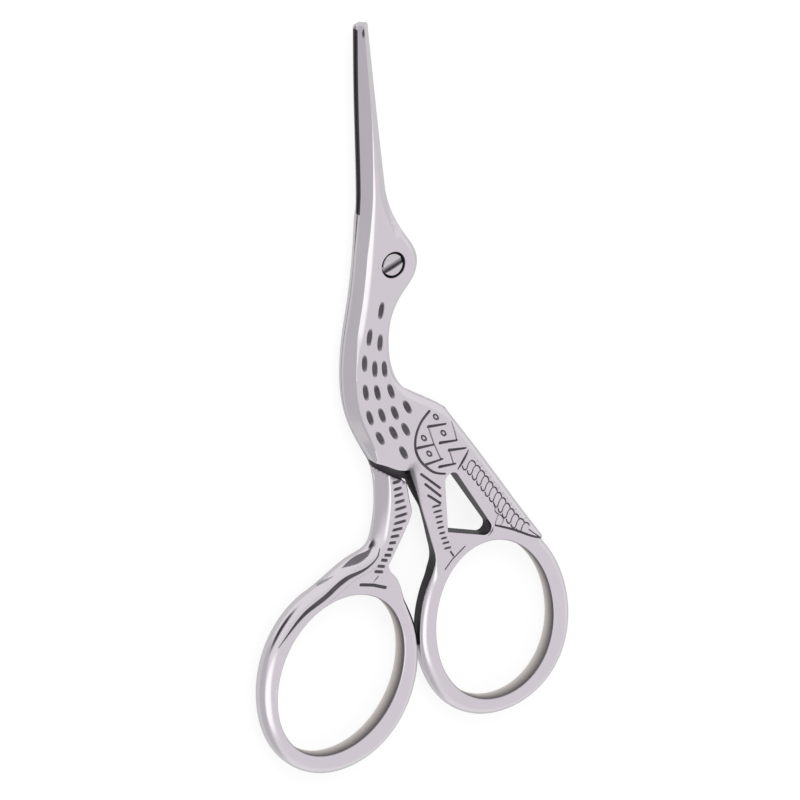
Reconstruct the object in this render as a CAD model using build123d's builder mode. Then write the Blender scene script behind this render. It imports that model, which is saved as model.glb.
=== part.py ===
"""Stork embroidery scissors: two crossed halves that turn on a slotted screw.

The scissors lie on their back, decorated face up. +Z is up, +Y runs towards the
beak tip and X runs across the finger rings. The origin is below the middle of
the overall box, on the face that the scissors lie on. Millimetres.
"""
import os
from math import cos, hypot, pi, sin, sqrt

from build123d import *

os.makedirs("parts", exist_ok=True)

# Overall sizes
SPAN = 45.0             # across both finger rings
BEAK_REACH = 30.1       # screw to beak tip
FOOT_REACH = 63.9       # screw to the foot of the rings
PLATE = 1.9             # one half at the screw, half of the closed thickness
FACE_GAP = 0.06         # between the inner faces of the two halves
RIM = 2.1               # thickness of a finger ring
RING_TALL = 25.6        # left finger ring, foot to top

HALF_SPAN = SPAN / 2
PIVOT_Y = FOOT_REACH - (BEAK_REACH + FOOT_REACH) / 2
FOOT_Y = PIVOT_Y - FOOT_REACH
TIP_Y = PIVOT_Y + BEAK_REACH
TOP = 2 * PLATE
RIM_LOW = PLATE - RIM / 2
RIM_HIGH = PLATE + RIM / 2
LEG_REACH = FOOT_REACH - RING_TALL      # screw to the top of the left ring

# Finger rings
MEET_X = 0.45           # where the two closed rings meet, off the centre line
RING_GAP = 0.16         # left between the closed rings
RIGHT_TALLER = 0.6      # height of the right ring beyond the left one's
RING_FULLNESS = 2.05    # exponent of the oval, 2 is an ellipse
RING_POINTS = 16
RING_SPANS = 8          # pairs of arcs round an oval
RIM_ROUND = 1.0         # outer edges of a ring
LEFT_BAND_OUTER = 2.3   # width of the left ring on its outer side
LEFT_BAND_INNER = 2.5   # on the side next to the other ring
LEFT_BAND_FOOT = 2.9
LEFT_BAND_TOP = 2.6
LEFT_LEAN = 0.3         # sideways lean of the ring's top towards the centre line
LEFT_HOLE_LEAN = 1.2
RIGHT_BAND_OUTER = 2.7
RIGHT_BAND_INNER = 2.2
RIGHT_BAND_FOOT = 2.4
RIGHT_BAND_TOP = 2.4
RIGHT_LEAN = -0.85
RIGHT_HOLE_LEAN = -0.6
NARROWING_SHARE = 0.07  # by how much the right ring's oval narrows towards its top
HOLE_NARROWING_SHARE = 0.04

# Bevels and roundings
SPINE_WIDE = 0.95       # broad bevel along the beak's back, the neck and the breast
SPINE_DEEP = 1.7
HONE_WIDE = 1.8         # bevel behind a cutting edge
EDGE_LAND = 0.12        # upright land left under a blade's bevel
BACK_WIDE = 0.9         # bevel round the head and along the back of the neck
BACK_DEEP = 0.7
TAIL_WIDE = 1.2         # bevel along the tail
TAIL_DEEP = 0.9
LEG_WIDE = 1.2          # bevel on the outer side of the left leg
LEG_DEEP = 1.0
UNDERCUT_WIDE = 1.3     # bevel under the outer side of each leg
UNDERCUT_DEEP = 1.7
TIP_ROUND = 0.35

# Lap and shoulders between the halves
SHOULDER_GAP = 0.5
RUNOUT = 5.0            # length over which a beak's ground bevel fades into the head
OVERRUN = 2.0

# Triangular window between the right leg and the tail
WINDOW_TOP_ROUND = 1.0
WINDOW_SIDE_ROUND = 0.9

# Slotted pivot screw
SCREW_HEAD_R = 1.5
SCREW_HEAD_T = 0.75
SCREW_DOME = 0.3
SCREW_R = 1.0
SCREW_FIT = 0.05
HEAD_FIT = 0.12
HEAD_SINK = 0.35        # rim of the head below the face of the front half
SEAT_FIT = 0.03         # under the head, so that the front half turns freely
SLOT_WIDE = 0.42
SLOT_DEEP = 0.45
SLOT_TURN = 12.0
SCREW_SHORT = 0.1       # end of the screw short of the lower face

# Points as shares: across in shares of half the span, along in shares of the
# reach from the screw to the beak's tip (above 0) or to the rings' top (below 0).
FRONT_EDGE_SHARES = [
    (-0.086, 0.980), (-0.109, 0.748), (-0.129, 0.482), (-0.147, 0.282), (-0.182, 0.083),
    (-0.235, -0.092), (-0.293, -0.222), (-0.325, -0.354), (-0.313, -0.457), (-0.256, -0.562),
    (-0.196, -0.639),
]
BEAK_RIGHT_SHARES = [(0.030, 0.294), (0.014, 0.482), (-0.002, 0.748), (-0.012, 0.960)]
BACK_EDGE_SHARES = [
    (0.268, -0.538), (0.115, -0.467), (0.012, -0.415), (-0.043, -0.337), (-0.049, -0.259),
    (-0.018, -0.175), (0.071, -0.102), (0.139, -0.060), (0.163, 0.000), (0.134, 0.062),
    (0.076, 0.137), (0.043, 0.218), (0.030, 0.294),
]
LAP_SHARES = [(-0.196, -0.639), (-0.129, -0.661), (-0.062, -0.686), (0.012, -0.701)]
RIGHT_LEG_SHARES = [(0.012, -0.701), (0.028, -0.759), (0.054, -0.829), (0.093, -0.928), (0.122, -1.020)]
TAIL_END_SHARE = (0.856, -1.108)
TAIL_CORNER_SHARE = (0.268, -0.538)
LEFT_LEG_OUTER_SHARES = [
    (-0.196, -0.639), (-0.172, -0.692), (-0.168, -0.744), (-0.178, -0.809), (-0.204, -0.874),
    (-0.250, -0.928), (-0.345, -0.946), (-0.470, -0.973), (-0.640, -1.021),
]
LEFT_LEG_INNER_SHARES = [(0.000, -0.741), (0.010, -0.792), (0.016, -0.848), (-0.012, -0.894), (-0.150, -1.006)]
ANKLE_SHARES = [(-0.150, -1.006), (-0.150, -1.023), (-0.098, -1.073)]
WINDOW_SHARES = [(0.216, -0.664), (0.216, -0.953), (0.555, -1.033)]
LEG_ROOT_SHARE = (-0.100, -0.567)
FRONT_SPLIT_SHARES = [(0.226, -0.509), (0.026, -0.751)]
LEG_SLOPE_SHARES = (-0.701, -1.001)


def spot(across_share, along_share):
    """Place on the plan, from its shares of the span and of the reach."""
    reach = BEAK_REACH if along_share > 0 else LEG_REACH
    return (across_share * HALF_SPAN, PIVOT_Y + along_share * reach)


def spots(shares):
    return [spot(across, along) for across, along in shares]


def ring_points(west, east, foot, top, lean, narrowing=0):
    """Oval through the four given extremes, its top leaning sideways and narrower by a share."""
    centre_x, centre_y = (west + east) / 2, (foot + top) / 2
    radius_x, radius_y = (east - west) / 2, (top - foot) / 2
    points = []
    for step in range(RING_POINTS):
        turn = 2 * pi * step / RING_POINTS
        across = abs(cos(turn)) ** (2 / RING_FULLNESS) * (1 if cos(turn) > 0 else -1)
        along = abs(sin(turn)) ** (2 / RING_FULLNESS) * (1 if sin(turn) > 0 else -1)
        wide = across * radius_x * (1 - narrowing * along)
        points.append((centre_x + wide + along * lean, centre_y + along * radius_y))
    return points


def plan_edge(part, face_z, place):
    """Edge of the part's flat face at face_z that passes nearest a place on the plan."""
    face = part.faces().filter_by(Plane.XY).sort_by_distance(Vector(place[0], place[1], face_z))[0]
    return face, face.edges().sort_by_distance(Vector(place[0], place[1], face_z))[0]


def beak_cutter(head, tip, wide, inner_z, side, hand):
    """Wedge that grinds one side of a beak from its edge up to a ridge.

    It runs out into the head. side is 1 above the lap and -1 below it; hand is 1
    for the beak's right side, seen from the front, and -1 for its left side.
    """
    run = hypot(tip[0] - head[0], tip[1] - head[1])
    along = Vector(tip[0] - head[0], tip[1] - head[1], 0) / run
    inward = Vector(0, 0, hand).cross(along)
    up = side * hand
    deep = PLATE - FACE_GAP / 2 - EDGE_LAND
    slope = deep / wide
    with BuildPart() as cutter:
        for station, lift in [(-RUNOUT, deep), (0, 0), (run + OVERRUN, 0)]:
            base = Vector(head[0], head[1], inner_z + side * (EDGE_LAND + lift)) + along * station
            with BuildSketch(Plane(origin=base, x_dir=inward, z_dir=along)):
                with BuildLine():
                    Polyline(
                        (-OVERRUN, -up * OVERRUN * slope),
                        (wide + OVERRUN, up * (deep + OVERRUN * slope)),
                        (-OVERRUN, up * (deep + OVERRUN * slope)),
                        close=True,
                    )
                make_face()
        loft(ruled=True)
    return cutter.part


def tail_cutter():
    """Straight wedge that bevels the tail's upper edge."""
    run = Vector(TAIL_CORNER[0] - TAIL_END[0], TAIL_CORNER[1] - TAIL_END[1], 0)
    along = run.normalized()
    start = Vector(TAIL_END[0], TAIL_END[1], TOP) - along * OVERRUN
    rise = OVERRUN * TAIL_DEEP / TAIL_WIDE
    with BuildPart() as cutter:
        with BuildSketch(Plane(origin=start, x_dir=Vector(0, 0, 1).cross(along), z_dir=along)):
            with BuildLine():
                Polyline(
                    (-OVERRUN, -TAIL_DEEP - rise), (TAIL_WIDE + OVERRUN, rise), (-OVERRUN, rise), close=True
                )
            make_face()
        extrude(amount=run.length + 2 * OVERRUN)
    return cutter.part


def arc_meeting(start, leave, end, arrive):
    """Where two arcs meet that leave start and reach end in the given directions."""
    across = end - start
    turn = 1 - leave.dot(arrive)
    lean = across.dot(leave + arrive)
    reach = (sqrt(lean ** 2 + 2 * turn * across.dot(across)) - lean) / (2 * turn)
    return (start + end + (leave - arrive) * reach) / 2


def oval_plate(points, low, high):
    """Flat plate between two heights; its outline is a chain of tangent arcs along an oval."""
    oval = Spline(*points, periodic=True)
    with BuildPart() as plate:
        with BuildSketch(Plane.XY.offset(low)):
            with BuildLine():
                for span in range(RING_SPANS):
                    start, end = oval @ (span / RING_SPANS), oval @ ((span + 1) / RING_SPANS)
                    leave, arrive = oval % (span / RING_SPANS), oval % ((span + 1) / RING_SPANS)
                    meeting = arc_meeting(start, leave, end, arrive)
                    TangentArc(start, meeting, tangent=leave)
                    TangentArc(end, meeting, tangent=-arrive)
            make_face()
        extrude(amount=high - low)
    return plate.part


def ring_disc(points):
    """Solid oval of a finger ring, rounded all round its edge, before its hole."""
    with BuildPart() as disc:
        add(oval_plate(points, RIM_LOW, RIM_HIGH))
        fillet(disc.faces().filter_by(Plane.XY).edges(), RIM_ROUND)
    return disc.part


def leg_upper():
    """The left leg above the lap, up to the level of the ring's face."""
    with BuildPart() as upper:
        with BuildSketch(Plane.XY.offset(PLATE / 2)):
            add(left_leg_top_plan.sketch)
        extrude(amount=RIM_HIGH - PLATE / 2)
        face, edge = plan_edge(upper, RIM_HIGH, LEFT_LEG_SIDE)
        chamfer(edge, length=LEG_WIDE, length2=LEG_DEEP, reference=face)
    return upper.part


def leg_lower():
    """The left leg below the lap, its outer side cut under."""
    with BuildPart() as lower:
        with BuildSketch():
            add(left_leg_plan.sketch)
        extrude(amount=BACK_HIGH)
        face, edge = plan_edge(lower, 0, LEFT_LEG_SIDE)
        chamfer(edge, length=UNDERCUT_WIDE, length2=UNDERCUT_DEEP, reference=face)
    return lower.part


def handle():
    """The right leg and the tail, from the level of the ring's lower face up."""
    with BuildPart() as solid:
        with BuildSketch(Plane.XY.offset(RIM_LOW)):
            add(front_handle_plan.sketch)
        extrude(amount=TOP - RIM_LOW - TAIL_DEEP)
        face, edge = plan_edge(solid, RIM_LOW, RIGHT_LEG_SIDE)
        chamfer(edge, length=UNDERCUT_WIDE, length2=UNDERCUT_DEEP, reference=face)
    return solid.part


def slope_cutter(body_z, ring_z, beyond_z):
    """What stands past a face that slopes from the body's level to the ring's."""
    with BuildPart() as cutter:
        with BuildSketch(Plane.YZ):
            with BuildLine():
                Polyline(
                    (SLOPE_TOP_Y, body_z), (SLOPE_FOOT_Y, ring_z), (FOOT_Y, ring_z),
                    (FOOT_Y, beyond_z), (SLOPE_TOP_Y, beyond_z), close=True,
                )
            make_face()
        extrude(amount=HALF_SPAN, both=True)
    return cutter.part


def screw():
    """Headed screw on the Z axis through the screw hole, its slot not yet cut."""
    with BuildPart() as turned:
        with BuildSketch(Plane((0, PIVOT_Y, 0), x_dir=(1, 0, 0), z_dir=(0, -1, 0))):
            with BuildLine():
                Polyline(
                    (0, DOME_Z), (0, SCREW_SHORT), (SCREW_R, SCREW_SHORT), (SCREW_R, HEAD_SEAT_Z),
                    (SCREW_HEAD_R, HEAD_SEAT_Z), (SCREW_HEAD_R, HEAD_RIM_Z),
                )
                RadiusArc((SCREW_HEAD_R, HEAD_RIM_Z), (0, DOME_Z), -DOME_RADIUS)
            make_face()
        revolve(axis=Axis((0, PIVOT_Y, 0), (0, 0, 1)))
    return turned.part


MEET_LEFT = MEET_X - RING_GAP / 2
MEET_RIGHT = MEET_X + RING_GAP / 2
LEFT_RING = ring_points(-HALF_SPAN, MEET_LEFT, FOOT_Y, FOOT_Y + RING_TALL, LEFT_LEAN)
LEFT_HOLE = ring_points(
    LEFT_BAND_OUTER - HALF_SPAN, MEET_LEFT - LEFT_BAND_INNER,
    FOOT_Y + LEFT_BAND_FOOT, FOOT_Y + RING_TALL - LEFT_BAND_TOP, LEFT_HOLE_LEAN,
)
RIGHT_TALL = RING_TALL + RIGHT_TALLER
RIGHT_RING = ring_points(MEET_RIGHT, HALF_SPAN, FOOT_Y, FOOT_Y + RIGHT_TALL, RIGHT_LEAN, NARROWING_SHARE)
RIGHT_HOLE = ring_points(
    MEET_RIGHT + RIGHT_BAND_INNER, HALF_SPAN - RIGHT_BAND_OUTER,
    FOOT_Y + RIGHT_BAND_FOOT, FOOT_Y + RIGHT_TALL - RIGHT_BAND_TOP, RIGHT_HOLE_LEAN, HOLE_NARROWING_SHARE,
)
FRONT_LOW = PLATE + FACE_GAP / 2
BACK_HIGH = PLATE - FACE_GAP / 2
TIP_LEFT = spot(*FRONT_EDGE_SHARES[0])
TIP_RIGHT = spot(*BEAK_RIGHT_SHARES[-1])
TAIL_END = spot(*TAIL_END_SHARE)
TAIL_CORNER = spot(*TAIL_CORNER_SHARE)
RIGHT_LEG_SIDE = spot(*RIGHT_LEG_SHARES[2])
RIGHT_LEG_FOOT = spot(*RIGHT_LEG_SHARES[-1])
LEFT_LEG_SIDE = spot(*LEFT_LEG_OUTER_SHARES[3])
LEFT_LEG_FOOT = spot(*LEFT_LEG_OUTER_SHARES[-1])
ANKLE = spots(ANKLE_SHARES)
LAP = spots(LAP_SHARES)
BEAK_HEAD_RIGHT = spot(*BEAK_RIGHT_SHARES[0])
BEAK_HEAD_LEFT = spot(*FRONT_EDGE_SHARES[3])
BREAST = spot(*FRONT_EDGE_SHARES[6])
NAPE = spot(*BACK_EDGE_SHARES[4])
SPLIT = spots(FRONT_SPLIT_SHARES)
SLOPE_TOP_Y = spot(0, LEG_SLOPE_SHARES[0])[1]
SLOPE_FOOT_Y = spot(0, LEG_SLOPE_SHARES[1])[1]
HEAD_RIM_Z = TOP - HEAD_SINK
HEAD_SEAT_Z = HEAD_RIM_Z - SCREW_HEAD_T
DOME_Z = HEAD_RIM_Z + SCREW_DOME
DOME_RADIUS = (SCREW_HEAD_R ** 2 + SCREW_DOME ** 2) / (2 * SCREW_DOME)

# Outline of the front half, without its ring's oval
with BuildSketch() as front_plan:
    with BuildLine():
        Spline(*spots(FRONT_EDGE_SHARES))
        Spline(*LAP)
        Spline(*spots(RIGHT_LEG_SHARES))
        Polyline(
            RIGHT_LEG_FOOT,
            (RIGHT_LEG_FOOT[0] + RIGHT_BAND_INNER, RIGHT_LEG_FOOT[1] - RIGHT_BAND_INNER),
            (TAIL_END[0] - RIGHT_BAND_OUTER, TAIL_END[1] - RIGHT_BAND_OUTER),
            TAIL_END,
            TAIL_CORNER,
        )
        Spline(*spots(BACK_EDGE_SHARES))
        Spline(*spots(BEAK_RIGHT_SHARES))
        Polyline(TIP_RIGHT, (TIP_RIGHT[0] - TIP_ROUND, TIP_Y), (TIP_LEFT[0] + TIP_ROUND, TIP_Y), TIP_LEFT)
    make_face()

# The part of that outline that the right leg and the tail fill below the lap
with BuildSketch() as front_handle_plan:
    add(front_plan.sketch)
    with BuildLine():
        Polyline(
            SPLIT[0], SPLIT[1], (SPLIT[1][0] - OVERRUN, SPLIT[1][1]), (SPLIT[1][0] - OVERRUN, FOOT_Y),
            (HALF_SPAN, FOOT_Y), (HALF_SPAN, SPLIT[0][1]), close=True,
        )
    make_face(mode=Mode.INTERSECT)

# The back half's body: the same outline, as far as the front half's leg and tail
split_run = Vector(SPLIT[1][0] - SPLIT[0][0], SPLIT[1][1] - SPLIT[0][1], 0).normalized()
split_step = Vector(0, 0, -1).cross(split_run) * SHOULDER_GAP
BACK_SPLIT = [(x + split_step.X, y + split_step.Y) for x, y in SPLIT]
with BuildSketch() as back_body_plan:
    add(front_plan.sketch)
    with BuildLine():
        Polyline(
            BACK_SPLIT[0], BACK_SPLIT[1], (-HALF_SPAN, BACK_SPLIT[1][1]), (-HALF_SPAN, TIP_Y + OVERRUN),
            (HALF_SPAN, TIP_Y + OVERRUN), (HALF_SPAN, BACK_SPLIT[0][1]), close=True,
        )
    make_face(mode=Mode.INTERSECT)

# Left leg, from inside the body down into the ring's band
with BuildSketch() as left_leg_plan:
    with BuildLine():
        Spline(*spots(LEFT_LEG_OUTER_SHARES))
        Polyline(
            LEFT_LEG_FOOT,
            (LEFT_LEG_FOOT[0] + LEFT_BAND_OUTER, LEFT_LEG_FOOT[1] - LEFT_BAND_OUTER),
            (ANKLE[-1][0] - LEFT_BAND_INNER, ANKLE[-1][1] - LEFT_BAND_INNER),
            *reversed(ANKLE),
        )
        Spline(*reversed(spots(LEFT_LEG_INNER_SHARES)))
        Polyline(spots(LEFT_LEG_INNER_SHARES)[0], spot(*LEG_ROOT_SHARE), spot(*LEFT_LEG_OUTER_SHARES[0]))
    make_face()

# What of the left leg stands above the lap: it stops short of the front half's body
lap_run = Vector(LAP[-1][0] - LAP[0][0], LAP[-1][1] - LAP[0][1], 0).normalized()
lap_drop = Vector(0, 0, -1).cross(lap_run) * SHOULDER_GAP
SHOULDER = [(x + lap_drop.X, y + lap_drop.Y) for x, y in LAP]
with BuildSketch() as left_leg_top_plan:
    add(left_leg_plan.sketch)
    with BuildLine():
        Spline(*SHOULDER)
        Polyline(
            SHOULDER[-1], (SHOULDER[-1][0] + OVERRUN, SHOULDER[-1][1]), (SHOULDER[-1][0] + OVERRUN, FOOT_Y),
            (-HALF_SPAN, FOOT_Y), (-HALF_SPAN, SHOULDER[0][1]), SHOULDER[0],
        )
    make_face(mode=Mode.INTERSECT)

front_hone = beak_cutter(BEAK_HEAD_RIGHT, TIP_RIGHT, HONE_WIDE, FRONT_LOW, 1, 1)
back_spine = beak_cutter(BEAK_HEAD_RIGHT, TIP_RIGHT, SPINE_WIDE, BACK_HIGH, -1, 1)
back_hone = beak_cutter(BEAK_HEAD_LEFT, TIP_LEFT, HONE_WIDE, BACK_HIGH, -1, -1)
tail_bevel = tail_cutter()
right_handle = handle()
right_ring = ring_disc(RIGHT_RING)
right_hole = oval_plate(RIGHT_HOLE, RIM_LOW - OVERRUN, TOP + OVERRUN)
left_leg_upper = leg_upper()
left_leg_lower = leg_lower()
left_ring = ring_disc(LEFT_RING)
left_hole = oval_plate(LEFT_HOLE, -OVERRUN, TOP + OVERRUN)
front_slope = slope_cutter(TOP, RIM_HIGH, TOP + OVERRUN)
back_slope = slope_cutter(0, RIM_LOW, -OVERRUN)
whole_screw = screw()

with BuildPart() as front_half:
    with BuildSketch(Plane.XY.offset(FRONT_LOW)):
        add(front_plan.sketch)
    extrude(amount=TOP - FRONT_LOW)
    face, edge = plan_edge(front_half, TOP, BREAST)
    chamfer(edge, length=SPINE_WIDE, length2=SPINE_DEEP, reference=face)
    face, edge = plan_edge(front_half, TOP, NAPE)
    chamfer(edge, length=BACK_WIDE, length2=BACK_DEEP, reference=face)
    add(tail_bevel, mode=Mode.SUBTRACT)
    add(front_hone, mode=Mode.SUBTRACT)
    add(right_handle)
    add(front_slope, mode=Mode.SUBTRACT)
    add(right_ring)
    add(right_hole, mode=Mode.SUBTRACT)
    # window between the leg and the tail
    with BuildSketch(Plane.XY.offset(RIM_LOW)):
        with BuildLine():
            Polyline(*spots(WINDOW_SHARES), close=True)
        make_face()
        fillet(vertices().sort_by(Axis.Y)[-1], WINDOW_TOP_ROUND)
        fillet(vertices().sort_by(Axis.X)[-1], WINDOW_SIDE_ROUND)
    extrude(amount=TOP, mode=Mode.SUBTRACT)
    # screw hole with the recess for its head
    with Locations((0, PIVOT_Y, TOP)):
        CounterBoreHole(SCREW_R + SCREW_FIT, SCREW_HEAD_R + HEAD_FIT, TOP - HEAD_SEAT_Z + SEAT_FIT)

with BuildPart() as back_half:
    with BuildSketch():
        add(back_body_plan.sketch)
    extrude(amount=BACK_HIGH)
    face, edge = plan_edge(back_half, 0, BREAST)
    chamfer(edge, length=SPINE_WIDE, length2=SPINE_DEEP, reference=face)
    face, edge = plan_edge(back_half, 0, NAPE)
    chamfer(edge, length=BACK_WIDE, length2=BACK_DEEP, reference=face)
    add(back_spine, mode=Mode.SUBTRACT)
    add(back_hone, mode=Mode.SUBTRACT)
    add(left_leg_lower)
    add(left_leg_upper)
    add(back_slope, mode=Mode.SUBTRACT)
    add(left_ring)
    add(left_hole, mode=Mode.SUBTRACT)
    # tapped hole for the screw
    with Locations((0, PIVOT_Y, BACK_HIGH)):
        Hole(SCREW_R)

with BuildPart() as pivot_screw:
    add(whole_screw)
    with BuildSketch(Plane((0, PIVOT_Y, DOME_Z - SLOT_DEEP))):
        Rectangle(2 * SCREW_HEAD_R + OVERRUN, SLOT_WIDE, rotation=SLOT_TURN)
    extrude(amount=SLOT_DEEP + OVERRUN, mode=Mode.SUBTRACT)

front_half.part.label = "front_half"
export_step(front_half.part, "parts/front_half.step")
back_half.part.label = "back_half"
export_step(back_half.part, "parts/back_half.step")
pivot_screw.part.label = "pivot_screw"
export_step(pivot_screw.part, "parts/pivot_screw.step")
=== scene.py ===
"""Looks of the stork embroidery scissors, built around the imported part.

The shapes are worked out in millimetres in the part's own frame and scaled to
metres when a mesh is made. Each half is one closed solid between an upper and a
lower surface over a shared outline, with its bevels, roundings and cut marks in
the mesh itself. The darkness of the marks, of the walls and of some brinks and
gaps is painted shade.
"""
from math import ceil, cos, hypot, pi, radians, sin

import bpy
import numpy as np
from bpy.props import FloatProperty, FloatVectorProperty, PointerProperty
from bpy.types import Operator, Panel, PropertyGroup
from mathutils import Matrix, Quaternion, Vector
from mathutils.geometry import delaunay_2d_cdt
from mathutils.kdtree import KDTree


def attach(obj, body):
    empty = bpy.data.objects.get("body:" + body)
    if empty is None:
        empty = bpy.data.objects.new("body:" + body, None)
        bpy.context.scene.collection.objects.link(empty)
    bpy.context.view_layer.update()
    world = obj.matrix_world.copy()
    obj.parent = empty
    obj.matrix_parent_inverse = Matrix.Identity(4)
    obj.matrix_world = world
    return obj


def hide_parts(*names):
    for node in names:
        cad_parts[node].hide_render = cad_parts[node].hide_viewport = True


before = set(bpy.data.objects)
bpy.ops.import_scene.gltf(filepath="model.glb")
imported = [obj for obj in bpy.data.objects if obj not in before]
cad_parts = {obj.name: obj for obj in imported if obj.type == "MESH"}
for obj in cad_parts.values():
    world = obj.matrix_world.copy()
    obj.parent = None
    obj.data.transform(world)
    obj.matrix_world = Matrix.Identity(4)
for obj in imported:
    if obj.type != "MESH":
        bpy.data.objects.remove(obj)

bl_info = {
    "name": "Stork embroidery scissors",
    "version": (1, 0, 0),
    "blender": (4, 5, 0),
    "location": "3D View > Sidebar > Scissors",
    "description": "Dresses the two halves and the pivot screw of a pair of stork embroidery scissors",
    "category": "Object",
}

MM = 0.001

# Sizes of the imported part, in millimetres
SPAN = 45.0
BEAK_REACH = 30.1
FOOT_REACH = 63.9
PLATE = 1.9
FACE_GAP = 0.06
RIM = 2.1
RING_TALL = 25.6
HALF_SPAN = SPAN / 2
PIVOT_Y = FOOT_REACH - (BEAK_REACH + FOOT_REACH) / 2
PIVOT = (0.0, PIVOT_Y)
TIP_Y = PIVOT_Y + BEAK_REACH
TOP = 2 * PLATE
RIM_LOW = PLATE - RIM / 2
RIM_HIGH = PLATE + RIM / 2
LEG_REACH = FOOT_REACH - RING_TALL
FRONT_LOW = PLATE + FACE_GAP / 2
BACK_HIGH = PLATE - FACE_GAP / 2
TIP_ROUND = 0.45
BACK_TIP_SHORTER = 0.2

# Finger rings
RING_FULLNESS = 2.05
LEFT_RING = {"west": -22.5, "east": 0.37, "foot": -47.0, "top": -21.4, "lean": 0.3}
LEFT_HOLE = {"west": -20.2, "east": -2.13, "foot": -44.1, "top": -24.0, "lean": 1.2}
RIGHT_RING = {"west": 0.53, "east": 22.49, "foot": -47.0, "top": -20.8, "lean": -0.85, "narrowing": 0.07}
RIGHT_HOLE = {"west": 2.73, "east": 19.8, "foot": -44.6, "top": -23.2, "lean": -0.6, "narrowing": 0.04}

# The front blade's left edge, set in above a level and over a run
BEAK_STEP = 0.28
BEAK_STEP_Y = 19.0
BEAK_STEP_RUN = 7.0

# Ground faces of the beak
EDGE_LAND = 0.12
RUNOUT = 6.0
GRIND_DEEP = PLATE - FACE_GAP / 2 - EDGE_LAND
HONE_WIDE = 1.8
SPINE_WIDE = 0.95

# Bevels and roundings: width, depth, how round from 0 to 1, half width of the softened ridge
SPINE_SECTION = (0.95, 1.45, 0.0, 0.12)
SPINE_BEAK_SECTION = (0.95, 1.4, 0.0, 0.12)
FACET_NONE = (0.9, 0.3, 0.0, 0.05)
FACET_SECTION = (1.6, 0.56, 0.0, 0.1)
NAPE_SECTION = (0.9, 0.7, 0.2, 0.15)
TAIL_SECTION = (1.5, 1.1, 0.9, 0.08)
RING_SECTION = (2.0, 1.0, 1.0, 0.05)
RING_LOW_SECTION = (1.3, 0.8, 1.0, 0.05)
HOLE_SECTION = (0.3, 0.2, 1.0, 0.05)
RING_SIDE = (1.6, 0.5, 1.0, 0.05)
RING_SIDE_LOW = (0.4, 0.25, 0.5, 0.05)
LAP_SECTION = (0.35, 0.12, 0.3, 0.04)
LEG_TOP = (0.6, 0.5, 0.3, 0.08)
LEG_ROOT_LOW = (1.3, 0.3, 0.0, 0.1)
LEG_MIDDLE_LOW = (1.3, 1.05, 0.0, 0.1)
LEG_THIN_LOW = (1.3, 1.85, 0.0, 0.1)
EDGE_BREAK = (0.12, 0.1, 0.5, 0.03)
LEG_BREAK = (0.18, 0.15, 0.5, 0.04)
LEFT_LEG_SECTION = (1.4, 1.15, 0.0, 0.08)
LEFT_LEG_LOW_SECTION = (1.8, 1.0, 0.7, 0.1)
UNDERCUT_SECTION = (1.3, 1.5, 0.0, 0.1)
UNDERCUT_LOW_SECTION = (1.3, 0.9, 0.8, 0.1)

# Samples of a run at which one of those sections gives way to the next
SPINE_EVEN_SAMPLES = 40
SPINE_LAST_SAMPLES = 9
LEG_CUT = 15
LEG_LOW_CUTS = (7, 12, 16)
RING_CUTS = (29, 42)
FACET_CUTS = (19, 81, 107)
FACET_SAMPLES = 122

# Samples of a run along which its wall or its face is dark with painted shade
DARK_BEAK_SAMPLES = 66
DARK_LEG_SAMPLES = 24

# Least thickness of the front half's leg and tail, and how far their lower face may rise
FRONT_LEAST = 0.7
FRONT_RISE = 0.75

# Least thickness of the back half, which grows by a step below a level and over a run
BACK_LEAST = 0.08
BACK_LEAST_STEP = 0.3
BACK_LEAST_Y = -6
BACK_LEAST_RUN = 2

# How far below the tip the ridge between the two ground faces begins
RIDGE_REACH = 14

# How much faster the painted shade on a mark's walls comes on than the walls fall, and how far past it places
# are looked at
DARK_WALLS = 1.4
MARK_PAST = 0.1

# Painted shade outside the marks, along the holes' brinks, down the right leg and beside the shoulder: how
# dark, how far it reaches and how softly it ends
BRINK_DARK, BRINK_CLEAR, BRINK_SOFT = 0.9, 0.03, 0.12
LEG_DARK, LEG_DARK_REACH, LEG_DARK_SOFT = 0.85, 0.7, 0.35
SHOULDER_DARK_REACH = 1.9

# Pivot screw and its seat
RECESS_R = 1.62
RECESS_FLOOR = 2.67
RECESS_BREAK = 0.06
RECESS_BREAK_DEEP = 0.05
FRONT_BORE_R = 1.05
BACK_BORE_R = 1.0
HEAD_R = 1.38
HEAD_RIM_Z = 3.7
HEAD_SEAT_Z = 2.7
DOME_RISE = 0.1
SLOT_WIDE = 0.8
SLOT_DEEP = 0.45
SLOT_TURN = 16.0
SCREW_END_Z = 0.1
SCREW_END_R = 0.85
SCREW_END_CHAMFER = 0.12
HEAD_BREAK = 0.12
HEAD_BREAK_DEEP = 0.08
HEAD_GUIDES = (1.37, 1.3, 1.15, 0.95, 0.7, 0.4)

# Points as shares: across in shares of half the span, along in shares of the
# reach from the screw to the beak's tip (above 0) or to the rings' top (below 0).
FRONT_EDGE_SHARES = [
    (-0.086, 0.980), (-0.109, 0.748), (-0.129, 0.482), (-0.147, 0.282), (-0.182, 0.083),
    (-0.235, -0.092), (-0.293, -0.222), (-0.325, -0.354), (-0.313, -0.457), (-0.256, -0.562),
    (-0.196, -0.639),
]
BEAK_RIGHT_SHARES = [(0.030, 0.294), (0.018, 0.482), (0.006, 0.748), (-0.001, 0.965)]
BACK_EDGE_SHARES = [
    (0.276, -0.535), (0.115, -0.467), (0.012, -0.415), (-0.043, -0.337), (-0.049, -0.259),
    (-0.018, -0.175), (0.071, -0.102), (0.139, -0.060), (0.163, 0.000), (0.134, 0.062),
    (0.076, 0.137), (0.043, 0.218), (0.030, 0.294),
]
LAP_SHARES = [(-0.196, -0.639), (-0.129, -0.661), (-0.062, -0.686), (0.012, -0.701)]
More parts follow.
